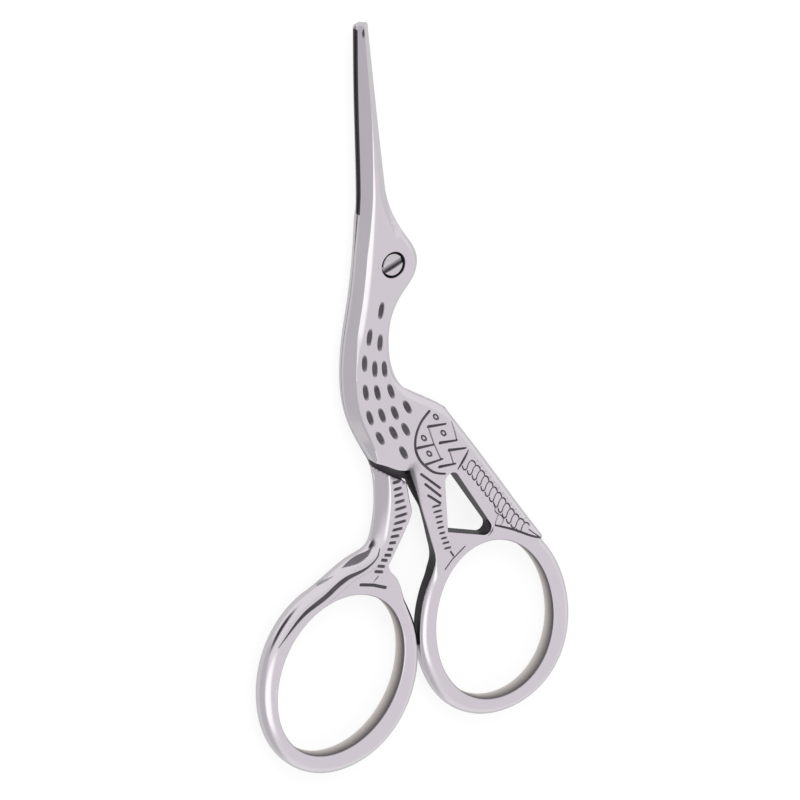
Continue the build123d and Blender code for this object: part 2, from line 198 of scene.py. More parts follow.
RIGHT_LEG_SHARES = [
    (0.012, -0.701), (0.040, -0.762), (0.068, -0.833), (0.108, -0.920), (0.133, -0.981), (0.149, -1.021),
    (0.152, -1.042), (0.145, -1.068), (0.127, -1.099),
]
TAIL_END_SHARE = (0.868, -1.102)
TAIL_CORNER_SHARE = (0.276, -0.535)
LEFT_LEG_OUTER_SHARES = [
    (-0.196, -0.639), (-0.172, -0.692), (-0.168, -0.744), (-0.178, -0.809), (-0.204, -0.874),
    (-0.250, -0.928), (-0.345, -0.946), (-0.470, -0.973), (-0.640, -1.021),
]
LEFT_LEG_INNER_SHARES = [
    (0.002, -0.741), (0.010, -0.778), (0.018, -0.820), (0.024, -0.853), (-0.004, -0.890),
    (-0.146, -1.010),
]
ANKLE_SHARES = [
    (-0.146, -1.010), (-0.139, -1.032), (-0.109, -1.057), (-0.088, -1.083), (-0.073, -1.117),
    (-0.060, -1.146), (-0.071, -1.188),
]
WINDOW_SHARES = [(0.220, -0.676), (0.240, -0.966), (0.571, -1.044)]
WINDOW_ROUNDS = (1.0, 0.25, 0.9)
FRONT_SPLIT_SHARES = [(0.226, -0.509), (0.026, -0.751)]
BACK_SPLIT_STEP = 0.25
SPLIT_PAST = 0.8
LEG_SLOPE_SHARES = (-0.701, -1.001)

# Where the back half steps up from its half thickness to that of its leg, and where the mesh
# follows that line
SHOULDER = [
    (-6.2, -7.3), (-4.9, -7.8), (-3.6, -9.0), (-2.2, -10.1), (-0.95, -11.0), (-0.15, -11.55), (0.6, -12.2),
]
SHOULDER_GUIDES = (0.5, 1.0, 1.6)

# How far a run goes on into the ring, and how far from their corner two runs are eased
LEG_INTO_RING = 2.2
TAIL_INTO_RING = 2.7
OUTER_INTO_RING = 2.3
LEG_EASE = 0.8
TAIL_EASE = 0.35
OUTER_EASE = 1.5
ANKLE_EASE = 0.4

# How far the centres of the rings lie below the middle of the part
RINGS_DROP = 33.6

# The camera: how the part is turned before it, the point that it turns about, where that
# point then lies before the lens, and the lens itself
VIEW_TURN = Vector((0.39152032, 0.55631274, 0.18809518))
VIEW_ORIGIN = Vector((-0.41, -RINGS_DROP, 1.9))
VIEW_AWAY = Vector((-1.346, 29.60, 650.0))
LENS_SHARE = 5337.6 / 800
SENSOR = 36.0

# The floor and the lamp, in metres and watts, and how bright the floor is seen and mirrored
FLOOR_HALF = 3.0
FLOOR_Z = -0.00002
FLOOR_SEEN = 0.8
FLOOR_MIRRORED = 0.42
KEY_PLACE = Vector((-0.08, 0.5, 0.38))
KEY_POWER = 0.9
KEY_SIZE = 0.3

# Heights of the polish's waves and scratches, in metres
WAVE_HIGH = 0.00012
SCRATCH_HIGH = 0.0000016

# Materials of a half, and the places of two of them in the list: near-black wall steel as painted shade, and
# hole steel warmed as a painted reflection
HALF_FINISHES = ("Polished steel", "Wall steel with painted shade", "Hole steel with painted reflection")
SHADE_PAINTED_WALL = 1
IN_HOLE = 2

# How fine the meshes are
SAMPLE = 0.35
GRID = 0.8
CLEAR = 0.03
STEP_HALF = 0.015
DOME_TURNS = (0, 15, 30, 45, 60, 75)


def spot(share):
    """Place on the plan, from its shares of the span and of the reach."""
    across, along = share
    reach = BEAK_REACH if along > 0 else LEG_REACH
    return np.array([across * HALF_SPAN, PIVOT_Y + along * reach])


def spots(shares):
    """Places on the plan, from a list of shares."""
    return np.array([spot(share) for share in shares])


def distances(line):
    """Distance of each point from the line's start, along the line."""
    return np.concatenate([[0], np.cumsum(np.hypot(*np.diff(line, axis=0).T))])


def smooth_line(points, step=SAMPLE):
    """Samples of a cubic spline through the points, about one step apart."""
    knots = np.array(points, float)
    count = len(knots)
    chord = np.hypot(*np.diff(knots, axis=0).T)
    place = np.concatenate([[0], np.cumsum(chord)])
    rows = np.eye(count)
    right = np.zeros((count, 2))
    for i in range(1, count - 1):
        rows[i, i - 1:i + 2] = chord[i - 1], 2 * (chord[i - 1] + chord[i]), chord[i]
        right[i] = 6 * ((knots[i + 1] - knots[i]) / chord[i] - (knots[i] - knots[i - 1]) / chord[i - 1])
    bend = np.linalg.solve(rows, right)
    at = np.linspace(0, place[-1], max(2, ceil(place[-1] / step) + 1))
    k = np.clip(np.searchsorted(place, at, side="right") - 1, 0, count - 2)
    run = chord[k][:, None]
    a = (place[k + 1] - at)[:, None] / run
    b = 1 - a
    cubic = (a ** 3 - a) * bend[k] + (b ** 3 - b) * bend[k + 1]
    return a * knots[k] + b * knots[k + 1] + cubic * run ** 2 / 6


def straight(*points, step=SAMPLE):
    """Samples along straight runs, corners included."""
    made = [np.array(points[0], float)]
    for start, end in zip(points, points[1:]):
        start, end = np.array(start, float), np.array(end, float)
        count = max(1, ceil(hypot(*(end - start)) / step))
        made += [start + (end - start) * i / count for i in range(1, count + 1)]
    return np.array(made)


def oval(west, east, foot, top, lean, narrowing=0, step=SAMPLE):
    """Closed oval through four extremes, its top leaning sideways and narrower by a share."""
    centre = np.array([(west + east) / 2, (foot + top) / 2])
    radius = np.array([(east - west) / 2, (top - foot) / 2])
    turn = np.linspace(0, 2 * pi, 720, endpoint=False)
    across = np.abs(np.cos(turn)) ** (2 / RING_FULLNESS) * np.sign(np.cos(turn))
    along = np.abs(np.sin(turn)) ** (2 / RING_FULLNESS) * np.sign(np.sin(turn))
    x = centre[0] + across * radius[0] * (1 - narrowing * along) + along * lean
    y = centre[1] + along * radius[1]
    return evened(np.stack([x, y], 1), step, closed=True)


def evened(line, step=SAMPLE, closed=False):
    """The same line with its samples one step apart."""
    ring = np.vstack([line, line[:1]]) if closed else line
    place = distances(ring)
    count = max(2, round(place[-1] / step))
    at = np.linspace(0, place[-1], count + 1)
    if closed:
        at = at[:-1]
    return np.stack([np.interp(at, place, ring[:, 0]), np.interp(at, place, ring[:, 1])], 1)


def cross2(a, b):
    """Cross product of vectors on the plan."""
    return a[..., 0] * b[..., 1] - a[..., 1] * b[..., 0]


def crossings(first, second):
    """Where two open lines cross: place along the first, place along the second and the point."""
    a, b = first[:-1], first[1:] - first[:-1]
    c, d = second[:-1], second[1:] - second[:-1]
    reach = c[None] - a[:, None]
    turn = cross2(b[:, None], d[None])
    turn = np.where(np.abs(turn) < 1e-12, 1e-12, turn)
    s = cross2(reach, d[None]) / turn
    t = cross2(reach, b[:, None]) / turn
    found = np.argwhere((s >= 0) & (s < 1) & (t >= 0) & (t < 1))
    made = [(i + s[i, j], j + t[i, j], a[i] + b[i] * s[i, j]) for i, j in found]
    return sorted(made, key=lambda hit: hit[0])


def turning(points, faces):
    """Twice the area of each triangle, below 0 where it runs clockwise."""
    a, b, c = points[faces[:, 0]], points[faces[:, 1]], points[faces[:, 2]]
    return cross2(b - a, c - a)


def closed(line):
    """The line with its first sample again at its end."""
    return np.vstack([line, line[:1]])


def cut_back(line, reach):
    """The line without its last stretch of the given length."""
    place = distances(line)
    keep = place < place[-1] - reach
    end = [np.interp(place[-1] - reach, place, line[:, axis]) for axis in (0, 1)]
    return np.vstack([line[keep], end])


def bent(start, corner, end, shares):
    """Curve from start to end that is drawn towards a corner, at shares of its way."""
    shares = shares[:, None]
    return (1 - shares) ** 2 * start + 2 * shares * (1 - shares) * corner + shares ** 2 * end


def eased(first, second, reach):
    """Two runs that meet end to end, the corner between them rounded off within a reach."""
    corner = first[-1]
    before = cut_back(first, reach)
    after = cut_back(second[::-1], reach)[::-1]
    count = max(3, ceil(2 * reach / SAMPLE))
    curve = bent(before[-1], corner, after[0], np.arange(1, count) / count)
    return before, np.vstack([before[-1:], curve, after])


def led_on(line, step):
    """The line led straight on from its end by a step."""
    return np.vstack([line, straight(line[-1], line[-1] + step)[1:]])


def up_to(line, place, point):
    """The line as far as a crossing."""
    return np.vstack([line[:int(place) + 1], point])


def onward(line, place, point):
    """The line from a crossing on."""
    return np.vstack([point, line[int(place) + 1:]])


def joined(before, ring, after, reach_before, reach_after):
    """A run into a closed ring, the way round the ring and the run out of it, the corners eased."""
    place_in, around_in, point_in = crossings(before, closed(ring))[0]
    place_out, around_out, point_out = crossings(after, closed(ring))[-1]
    around = ring_arc(ring, around_in, around_out)
    before, around = eased(up_to(before, place_in, point_in), around, reach_before)
    around, after = eased(around, onward(after, place_out, point_out), reach_after)
    return before, around, after


def ring_arc(ring, start, end):
    """The part of a closed oval, counter-clockwise, between two places along it."""
    count = len(ring)
    if end < start:
        end += count
    whole = [k % count for k in range(ceil(start + 1e-6), ceil(end - 1e-6))]
    around = closed(ring)
    ends = []
    for place in (start, end % count):
        i = int(place)
        ends.append(around[i] + (around[i + 1] - around[i]) * (place - i))
    return np.vstack([ends[0], ring[whole], ends[1]])


def inside(points, loops):
    """Whether each point is inside the outline and outside the holes, by even and odd crossings."""
    odd = np.zeros(len(points), bool)
    for loop in loops:
        a = loop
        b = np.roll(loop, -1, 0)
        for start in range(0, len(points), 4000):
            p = points[start:start + 4000]
            over = (a[None, :, 1] > p[:, None, 1]) != (b[None, :, 1] > p[:, None, 1])
            rise = b[:, 1] - a[:, 1]
            rise = np.where(np.abs(rise) < 1e-12, 1e-12, rise)
            x = a[None, :, 0] + (p[:, None, 1] - a[None, :, 1]) * ((b[:, 0] - a[:, 0]) / rise)[None]
            odd[start:start + 4000] ^= (np.sum(over & (x > p[:, None, 0]), 1) % 2).astype(bool)
    return odd


def tree_of(places):
    """Search tree of places on the plan."""
    tree = KDTree(len(places))
    for i, (x, y) in enumerate(places):
        tree.insert((x, y, 0), i)
    tree.balance()
    return tree


class Line:
    """A polyline that can be asked how far places are from it."""

    def __init__(self, points, is_closed=False):
        self.points = np.array(points, float)
        self.is_closed = is_closed
        self.tree = tree_of(self.points)

    def near(self, places):
        """Distance from each place and the place along the line, in samples."""
        count = len(self.points)
        first = np.array([self.tree.find((x, y, 0))[1] for x, y in places], int)
        best = np.full(len(places), np.inf)
        along = np.zeros(len(places))
        for step in (-1, 0):
            i = first + step
            j = i + 1
            if self.is_closed:
                i, j = i % count, j % count
            else:
                i, j = np.clip(i, 0, count - 1), np.clip(j, 0, count - 1)
            a, run = self.points[i], self.points[j] - self.points[i]
            square = np.maximum(np.sum(run ** 2, 1), 1e-12)
            t = np.clip(np.sum((places - a) * run, 1) / square, 0, 1)
            gap = np.hypot(*(places - a - run * t[:, None]).T)
            better = gap < best
            best[better] = gap[better]
            along[better] = (i + t)[better]
        return best, along

    def inward(self):
        """Unit normals to the left of the line."""
        p = self.points
        if self.is_closed:
            run = np.roll(p, -1, 0) - np.roll(p, 1, 0)
        else:
            run = np.vstack([p[1] - p[0], p[2:] - p[:-2], p[-1] - p[-2]])
        run = run / np.hypot(*run.T)[:, None]
        return np.stack([-run[:, 1], run[:, 0]], 1)


def bend_in(share, soft):
    """Ramp from 0 that starts softly: 0 below -soft, the share itself above soft."""
    curve = (share + soft) ** 2 / (4 * soft)
    return np.where(share > soft, share, np.where(share < -soft, 0, curve))


def blend_up(a, b, soft):
    """The larger of two drops, the crease between them rounded."""
    near = np.maximum(soft - np.abs(a - b), 0) / soft
    return np.maximum(a, b) + near ** 2 * soft / 4


class Edge:
    """Bevel or rounding that follows a run of the outline.

    Each stretch is (points, start, end), and start and end are a section of
    (wide, deep, round, soft): its width and depth, how round it is from 0 to 1,
    and the half width of the softened ridge at its inner border.
    """

    def __init__(self, stretches, is_closed=False, past=(0, 0), even=0.0):
        points, sections = [], []
        for line, start, end in stretches:
            share = np.linspace(0, 1, len(line))[:, None]
            points.append(line)
            sections.append(np.array(start) * (1 - share) + np.array(end) * share)
        points, sections = np.vstack(points), np.vstack(sections)
        if past[0]:
            run = points[0] - points[1]
            points = np.vstack([points[0] + run / hypot(*run) * past[0], points])
            sections = np.vstack([sections[:1], sections])
        if past[1]:
            run = points[-1] - points[-2]
            points = np.vstack([points, points[-1] + run / hypot(*run) * past[1]])
            sections = np.vstack([sections, sections[-1:]])
        keep = np.concatenate([[True], np.hypot(*np.diff(points, axis=0).T) > 1e-6])
        points, sections = points[keep], sections[keep]
        if even:
            sections = self.evened(points, sections, even)
        self.line = Line(points, is_closed)
        self.sections = sections

    @staticmethod
    def evened(points, sections, reach):
        """Sections averaged over a reach along the line, so that one shape flows into the next."""
        place = distances(points)
        made = sections.copy()
        for i, at in enumerate(place):
            weight = np.maximum(0, 1 - np.abs(place - at) / reach)
            made[i] = weight @ sections / weight.sum()
        return made

    def section_at(self, along):
        """Width, depth, roundness and softness at places along the line."""
        count = len(self.sections)
        i = np.floor(along).astype(int)
        t = (along - i)[:, None]
        j = (i + 1) % count if self.line.is_closed else np.minimum(i + 1, count - 1)
        return (self.sections[i % count] * (1 - t) + self.sections[j] * t).T

    def drop(self, places):
        """How far the surface lies below the face at each place."""
        made = np.zeros(len(places))
        reach = self.sections[:, 0].max() + self.sections[:, 3].max()
        low, high = self.line.points.min(0) - reach, self.line.points.max(0) + reach
        close = np.all((places > low) & (places < high), 1)
        if not close.any():
            return made
        gap, along = self.line.near(places[close])
        wide, deep, rounded, soft = self.section_at(along)
        share = 1 - gap / wide
        flat = bend_in(share, soft / wide)
        dome = 1 - np.sqrt(1 - np.clip(share, 0, 1) ** 2)
        made[close] = deep * ((1 - rounded) * flat + rounded * dome)
        return made

    def guides(self):
        """Lines along which the mesh follows the section, with the distance each one keeps."""
        wide, _, rounded, soft = self.sections.T
        inward = self.line.inward()
        gaps = [wide - soft, wide, wide + soft, wide * 0.5]
        if rounded.max() > 0.3:
            gaps += [wide * (1 - sin(radians(turn))) for turn in DOME_TURNS[1:]]
        made = []
        for gap in gaps:
            points = self.line.points + inward * gap[:, None]
            true, _ = self.line.near(points)
            keep = true > gap * 0.985 - 1e-6
            if self.line.is_closed:
                points, keep = closed(points), np.append(keep, keep[0])
            made.append((points, keep))
        return made


class Grind:
    """Flat ground face along one side of a beak, running out into the head."""

    def __init__(self, head, tip, wide, hand, soft=0.05):
        run = tip - head
        self.length = hypot(*run)
        self.head, self.along = head, run / self.length
        self.inward = np.array([-self.along[1], self.along[0]]) * hand
        self.wide, self.soft = wide, soft

    def shares(self, places):
        """How deep the grind is at each place, in shares of its depth at the edge."""
        along = (places - self.head) @ self.along
        fade = np.clip(-along / RUNOUT, 0, 1) ** 1.6
        return 1 - np.maximum((places - self.head) @ self.inward, 0) / self.wide - fade

    def drop(self, places):
        """How far the surface lies below the face at each place."""
        return GRIND_DEEP * bend_in(self.shares(places), self.soft / self.wide)

    def guides(self):
        """Lines along which the mesh follows the grind's inner border."""
        along = np.arange(-RUNOUT, self.length + SAMPLE, SAMPLE)
        fade = np.clip(-along / RUNOUT, 0, 1) ** 1.6
        made = []
        for gap in (-self.soft, 0, self.soft):
            inset = self.wide * (1 - fade) + gap
            points = self.head + along[:, None] * self.along + inset[:, None] * self.inward
            made.append((points, np.ones(len(points), bool)))
        return made


class Stamp:
    """One rounded dent, longer than it is wide.

    fullness is 2 for an ellipse and more for a squarer shape, pale is how much of the middle is spared the
    painted shade, and groove leaves an island inside a groove of that width.
    """

    POINTS = 22

    def __init__(self, x, y, long, wide, turn, deep, wall=0.09, fullness=3.0, pale=0.0, groove=None):
        self.place = np.array([x, y])
        self.half = np.array([wide / 2, long / 2])
        self.turn, self.deep, self.wall = radians(turn), deep, wall
        self.fullness, self.pale, self.groove = fullness, pale, groove

    def insets(self):
        """How far inside the rim the mesh follows the dent."""
        if self.groove is None:
            return (0.0, self.wall)
        return (0.0, self.wall, self.groove - self.wall, self.groove)

    def inner(self, places):
        """How far inside the dent's rim each place is."""
        c, s = cos(self.turn), sin(self.turn)
        q = (places - self.place) @ np.array([[c, -s], [s, c]]) / self.half
        power = self.fullness
        f = (np.abs(q[:, 0]) ** power + np.abs(q[:, 1]) ** power) ** (1 / power)
        return (1 - f) * self.half.min()

    def share(self, places):
        """How much of the full depth each place has, walls included."""
        inner = self.inner(places)
        share = np.clip(inner / self.wall, 0, 1)
        if self.groove is not None:
            share = share * np.clip((self.groove - inner) / self.wall, 0, 1)
        return share

    def depth(self, places):
        """How far each place lies below the face."""
        belly = np.clip(self.inner(places) / self.half.min(), 0, 1)
        return self.deep * self.share(places) * (1 - 0.25 * belly)

    def shade(self, places):
        """How dark the painted shade makes each place."""
        belly = np.clip(self.inner(places) / self.half.min(), 0, 1)
        return np.minimum(self.share(places) * DARK_WALLS, 1) * (1 - self.pale * belly ** 1.5)

    def reach(self):
        """Distance beyond which the mark changes nothing."""
        return self.half.max() + MARK_PAST


class Stroke:
    """A cut line with rounded ends, along the given points."""

    def __init__(self, points, wide, deep, wide_end=None, wall=0.08, curved=False, swell=None, tone=1.0):
        self.points = smooth_line(points, 0.3) if curved else straight(*points, step=0.5)
        share = np.linspace(0, 1, len(self.points))
        self.half = (wide + ((wide_end or wide) - wide) * share) / 2
        if swell:
            self.half = self.half + swell / 2 * np.sin(pi * share)
        self.deep, self.wall, self.tone = deep, wall, tone
        self.line = Line(self.points)

    def share(self, places):
        """How much of the full depth each place has, walls included."""
        gap, along = self.line.near(places)
        half = np.interp(along, np.arange(len(self.half)), self.half)
        wall = np.minimum(self.wall, half)
        return np.clip((half - gap) / wall, 0, 1)

    def depth(self, places):
        """How far each place lies below the face."""
        return self.deep * self.share(places)

    def shade(self, places):
        """How dark the painted shade makes each place."""
        return np.minimum(self.share(places) * DARK_WALLS, 1) * self.tone

    def reach(self):
        """Distance beyond which the mark changes nothing."""
        return self.half.max() + MARK_PAST

    def loops(self):
        """Outline of the cut, the foot of its walls and its middle line."""
        normal = self.line.inward()
        made = []
        for inset in (0.0, self.wall):
            half = np.maximum(self.half - inset, 0.02)
            if half.max() < 0.04:
                continue
            left, right = self.points + normal * half[:, None], self.points - normal * half[:, None]
            caps = []
            for k, hand in ((-1, 1), (0, -1)):
                out = hand * normal[k]
                aside = np.array([out[1], -out[0]])
                caps.append([
                    self.points[k] + half[k] * (out * cos(turn) + aside * sin(turn))
                    for turn in (pi * n / 5 for n in range(1, 5))
                ])
            made.append(closed(np.vstack([left, caps[0], right[::-1], caps[1]])))
        made.append(self.points)
        return made


class Solid:
    """Closed solid between a lower and an upper surface over one outline."""

    def __init__(self, name, loops, upper, lower, walls=()):
        """Each of the walls is (outline, material, runs), and runs is None for the whole outline."""
        self.name = name
        self.loops = [np.array(loop) for loop in loops]
        self.upper, self.lower = upper, lower
        self.lines = {"upper": [], "lower": []}
        self.walls = [(which, kind, runs and [Line(run) for run in runs]) for which, kind, runs in walls]

    def through(self, side, line):
        """Adds a line that crosses the outline; the outline gets a corner where they cross."""
        hits = []
        for number, loop in enumerate(self.loops):
            found = crossings(closed(loop), line)
            for place, along, point in reversed(found):
                self.loops[number] = np.insert(self.loops[number], int(place) + 1, point, 0)
            hits += [(along, point) for _, along, point in found]
        hits.sort(key=lambda hit: hit[0])
        for (start, first), (end, last) in zip(hits, hits[1:]):
            middle = line[[k for k in range(len(line)) if start < k < end]]
            piece = np.vstack([first, middle, last])
            middle_place = piece[0:2].mean(0)
            if inside(middle_place[None], self.loops)[0]:
                self.lines[side].append(piece)

    def within(self, side, line, keep=None):
        """Adds the parts of a line that lie well inside the outline."""
        line = np.array(line)
        good = inside(line, self.loops) if keep is None else keep & inside(line, self.loops)
        if good.any():
            places = line[good]
            gap = np.full(len(places), np.inf)
            for loop in self.loops:
                gap = np.minimum(gap, Line(loop, True).near(places)[0])
            good[np.flatnonzero(good)[gap < CLEAR]] = False
        run = []
        for point, is_good in zip(line, good):
            if is_good:
                run.append(point)
            elif run:
                self.add_run(side, run)
                run = []
        if run:
            self.add_run(side, run)

    def add_run(self, side, run):
        """Adds a line of at least two places to a side."""
        if len(run) > 1:
            self.lines[side].append(np.array(run))

    def surface(self, side, height):
        """Triangulates one side: places, heights, faces and where each outline sample went."""
        places, edges, starts = [], [], []
        for loop in self.loops:
            start = len(places)
            starts.append(start)
            places += [tuple(p) for p in loop]
            edges += [(start + k, start + (k + 1) % len(loop)) for k in range(len(loop))]
        for line in self.lines[side]:
            start = len(places)
            places += [tuple(p) for p in line]
            edges += [(start + k, start + k + 1) for k in range(len(line) - 1)]
        free = self.filling(np.array(places))
        places += [tuple(p) for p in free]
        made = delaunay_2d_cdt([Vector(p) for p in places], edges, [], 0, 1e-4, True)
        points = np.array([tuple(v) for v in made[0]])
        faces = np.array([tuple(f) for f in made[2]])
        sources = {}
        for now, sources_now in enumerate(made[3]):
            for before in sources_now:
                sources[before] = now
        walls = {
            tuple(sorted((sources[start + k], sources[start + (k + 1) % len(loop)])))
            for start, loop in zip(starts, self.loops) for k in range(len(loop))
        }
        faces = self.enclosed(points, faces, walls)
        turned = turning(points, faces) < 0
        faces[turned] = faces[turned][:, ::-1]
        order = [[sources[start + k] for k in range(len(loop))] for start, loop in zip(starts, self.loops)]
        self.check_border(side, points, faces, order)
        return points, height(points), faces, order

    def enclosed(self, points, faces, walls):
        """The triangles inside the outline, told apart by spreading up to its edges."""
        shared = {}
        for number, face in enumerate(faces.tolist()):
            for k in range(3):
                edge = (face[k], face[k - 1]) if face[k] < face[k - 1] else (face[k - 1], face[k])
                if edge not in walls:
                    shared.setdefault(edge, []).append(number)
        beside_it = [[] for _ in faces]
        open_faces = set()
        for pair in shared.values():
            if len(pair) == 2:
                beside_it[pair[0]].append(pair[1])
                beside_it[pair[1]].append(pair[0])
            else:
                open_faces.add(pair[0])
        area = np.abs(turning(points, faces))
        good = inside(points[faces].mean(1), self.loops)
        keep = np.zeros(len(faces), bool)
        reached = np.zeros(len(faces), bool)
        for first in np.argsort(-area):
            if reached[first]:
                continue
            reached[first] = True
            patch, wave = [first], [first]
            while wave:
                for other in beside_it[wave.pop()]:
                    if not reached[other]:
                        reached[other] = True
                        patch.append(other)
                        wave.append(other)
            keep[patch] = good[first] and open_faces.isdisjoint(patch)
        return faces[keep]

    def check_border(self, side, points, faces, order):
        """Stops where a line of the mesh has broken an edge of the outline."""
        edges = np.sort(np.vstack([faces[:, [0, 1]], faces[:, [1, 2]], faces[:, [2, 0]]]), 1)
        unique, counts = np.unique(edges, axis=0, return_counts=True)
        border = {tuple(e) for e in unique[counts == 1]}
        wanted = {tuple(sorted((o[k], o[(k + 1) % len(o)]))) for o in order for k in range(len(o))}
        if border != wanted:
            odd = list(border ^ wanted)[:6]
            places = [points[list(e)].round(2).tolist() for e in odd]
            raise RuntimeError(f"{self.name}: the {side} surface leaves its outline at {places}")

    def filling(self, taken):
        """Loose places on an even grid, clear of every line."""
        low, high = taken.min(0), taken.max(0)
        rows = np.arange(low[1], high[1], GRID * 0.866)
        made = []
        for i, y in enumerate(rows):
            xs = np.arange(low[0] + (i % 2) * GRID / 2, high[0], GRID)
            made.append(np.stack([xs, np.full(len(xs), y)], 1))
        made = np.vstack(made)
        made = made[inside(made, self.loops)]
        tree = tree_of(taken)
        clear = np.array([tree.find((x, y, 0))[2] > GRID * 0.45 for x, y in made])
        return made[clear]

    def build(self, materials):
        """The mesh, in metres, and how many of its vertices belong to the upper side."""
        top, top_z, top_faces, top_order = self.surface("upper", self.upper)
        low, low_z, low_faces, low_order = self.surface("lower", self.lower)
        count = len(top)
        points = np.vstack([np.column_stack([top, top_z]), np.column_stack([low, low_z])])
        faces = [tuple(f) for f in top_faces] + [tuple(f[::-1] + count) for f in low_faces]
        kinds = [0] * len(faces)
        for number, (up, down) in enumerate(zip(top_order, low_order)):
            loop = self.loops[number]
            for k in range(len(up)):
                j = (k + 1) % len(up)
                faces.append((up[j], up[k], down[k] + count, down[j] + count))
                kinds.append(self.wall_kind(number, (loop[k] + loop[j]) / 2))
        mesh = bpy.data.meshes.new(self.name)
        mesh.from_pydata([tuple(p) for p in points * MM], [], faces)
        for material in materials:
            mesh.materials.append(material)
        mesh.polygons.foreach_set("material_index", kinds)
        mesh.polygons.foreach_set("use_smooth", [True] * len(faces))
        self.points = points
        return mesh, count

    def wall_kind(self, number, place):
        """Number of the material of a wall at a place."""
        for which, kind, lines in self.walls:
            if which == number and (lines is None or any(near(place, line) for line in lines)):
                return kind
        return 0


def finished(name, mesh, sharp=32):
    """Object of a finished mesh, with crisp edges kept and broad faces shaded flat."""
    mesh.validate()
    mesh.update()
    mesh.set_sharp_from_angle(angle=radians(sharp))
    made = bpy.data.objects.new(name, mesh)
    bpy.context.scene.collection.objects.link(made)
    weighted = made.modifiers.new("Even shading", "WEIGHTED_NORMAL")
    weighted.keep_sharp = True
    weighted.weight = 50
    graph = bpy.context.evaluated_depsgraph_get()
    plain = bpy.data.meshes.new_from_object(made.evaluated_get(graph))
    made.modifiers.clear()
    made.data = plain
    plain.name = name
    return made


def shared_runs():
    """The front edge, the back edge and the beak's right edge, which both halves follow."""
    return [smooth_line(spots(shares)) for shares in (FRONT_EDGE_SHARES, BACK_EDGE_SHARES, BEAK_RIGHT_SHARES)]


def front_plan():
    """Runs of the front half's outline, from the beak's tip round by the left."""
    front_edge, back_edge, beak_right = shared_runs()
    step = np.clip((front_edge[:, 1:] - BEAK_STEP_Y) / BEAK_STEP_RUN, 0, 1)
    front_edge = front_edge + [[BEAK_STEP, 0]] * step
    tail_end, tail_corner = spot(TAIL_END_SHARE), spot(TAIL_CORNER_SHARE)
    leg, ring, tail = joined(
        led_on(smooth_line(spots(RIGHT_LEG_SHARES)), (0, -LEG_INTO_RING)), oval(**RIGHT_RING),
        straight(tail_end - TAIL_INTO_RING, tail_end, tail_corner), LEG_EASE, TAIL_EASE,
    )
    return {
        "front_edge": front_edge, "lap": smooth_line(spots(LAP_SHARES)), "leg": leg, "ring": ring,
        "tail": tail, "back_edge": back_edge, "beak_right": beak_right,
        "tip": blunt_tip(beak_right[-1], front_edge[0], TIP_Y),
    }


def back_plan():
    """Runs of the back half's outline, from the beak's tip round by the left."""
    front_edge, back_edge, beak_right = shared_runs()
    inner = smooth_line(spots(LEFT_LEG_INNER_SHARES))[::-1]
    outer, ring, ankle = joined(
        led_on(smooth_line(spots(LEFT_LEG_OUTER_SHARES)), (OUTER_INTO_RING, -OUTER_INTO_RING)),
        oval(**LEFT_RING), smooth_line(spots(ANKLE_SHARES)[::-1]), OUTER_EASE, ANKLE_EASE,
    )
    ends = spots(FRONT_SPLIT_SHARES)
    run = (ends[1] - ends[0]) / hypot(*(ends[1] - ends[0]))
    ends = ends + np.array([run[1], -run[0]]) * BACK_SPLIT_STEP
    split = straight(inner[-1], ends[1], ends[0])
    place, back_place, point = crossings(split, back_edge)[0]
    return {
        "front_edge": front_edge, "outer": outer, "ring": ring, "ankle": ankle, "inner": inner,
        "split": up_to(split, place, point), "back_edge": onward(back_edge, back_place, point),
        "beak_right": beak_right,
        "tip": blunt_tip(beak_right[-1], front_edge[0], TIP_Y - BACK_TIP_SHORTER),
    }


def blunt_tip(right, left, top):
    """Squared end of a blade with its corners rounded."""
    made = [right]
    for side, hand in ((right, 1), (left, -1)):
        low, out = np.array([side[0], top - TIP_ROUND]), np.array([side[0], top])
        flat = np.array([side[0] - hand * TIP_ROUND, top])
        curve = list(bent(low, out, flat, np.linspace(0, 1, 6)))
        made += curve if hand > 0 else curve[::-1]
    return np.array(made + [left])


def outline(runs):
    """One closed loop from runs that meet end to end."""
    line = np.vstack(list(runs.values()))
    keep = np.hypot(*(line - np.roll(line, 1, 0)).T) > 0.01
    return line[keep]


def rounded_corners(corners, rounds):
    """Closed polygon with its corners rounded."""
    made = []
    count = len(corners)
    for k, radius in enumerate(rounds):
        corner = np.array(corners[k])
        before, after = np.array(corners[k - 1]) - corner, np.array(corners[(k + 1) % count]) - corner
        before, after = before / hypot(*before), after / hypot(*after)
        half = np.arccos(np.clip(before @ after, -1, 1)) / 2
        reach = radius / np.tan(half)
        middle = corner + (before + after) / hypot(*(before + after)) * radius / sin(half)
        start, end = corner + before * reach - middle, corner + after * reach - middle
        turn = np.arctan2(cross2(start, end), start @ end)
        steps = max(3, ceil(abs(turn) * radius / 0.15))
        for i in range(steps + 1):
            c, s = cos(turn * i / steps), sin(turn * i / steps)
            made.append(middle + (start[0] * c - start[1] * s, start[0] * s + start[1] * c))
    return np.array(made)


def circle(radius, count=72):
    """Circle about the pivot."""
    turn = np.linspace(0, 2 * pi, count, endpoint=False)
    return np.stack([PIVOT[0] + radius * np.cos(turn), PIVOT[1] + radius * np.sin(turn)], 1)


def side_of(line, places):
    """Distance from an open line, above 0 on its left."""
    gap, along = line.near(places)
    i = np.clip(np.floor(along).astype(int), 0, len(line.points) - 2)
    run = line.points[i + 1] - line.points[i]
    left = cross2(run, places - line.points[i])
    return np.where(left > 0, gap, -gap)


def step_over(line, places):
    """0 to the left of a line and 1 to its right, changing within a hair's breadth."""
    return np.clip((STEP_HALF - side_of(line, places)) / (2 * STEP_HALF), 0, 1)


def beside(points, gap):
    """The line moved sideways, to its left."""
    line = Line(points)
    return line.points + line.inward() * gap


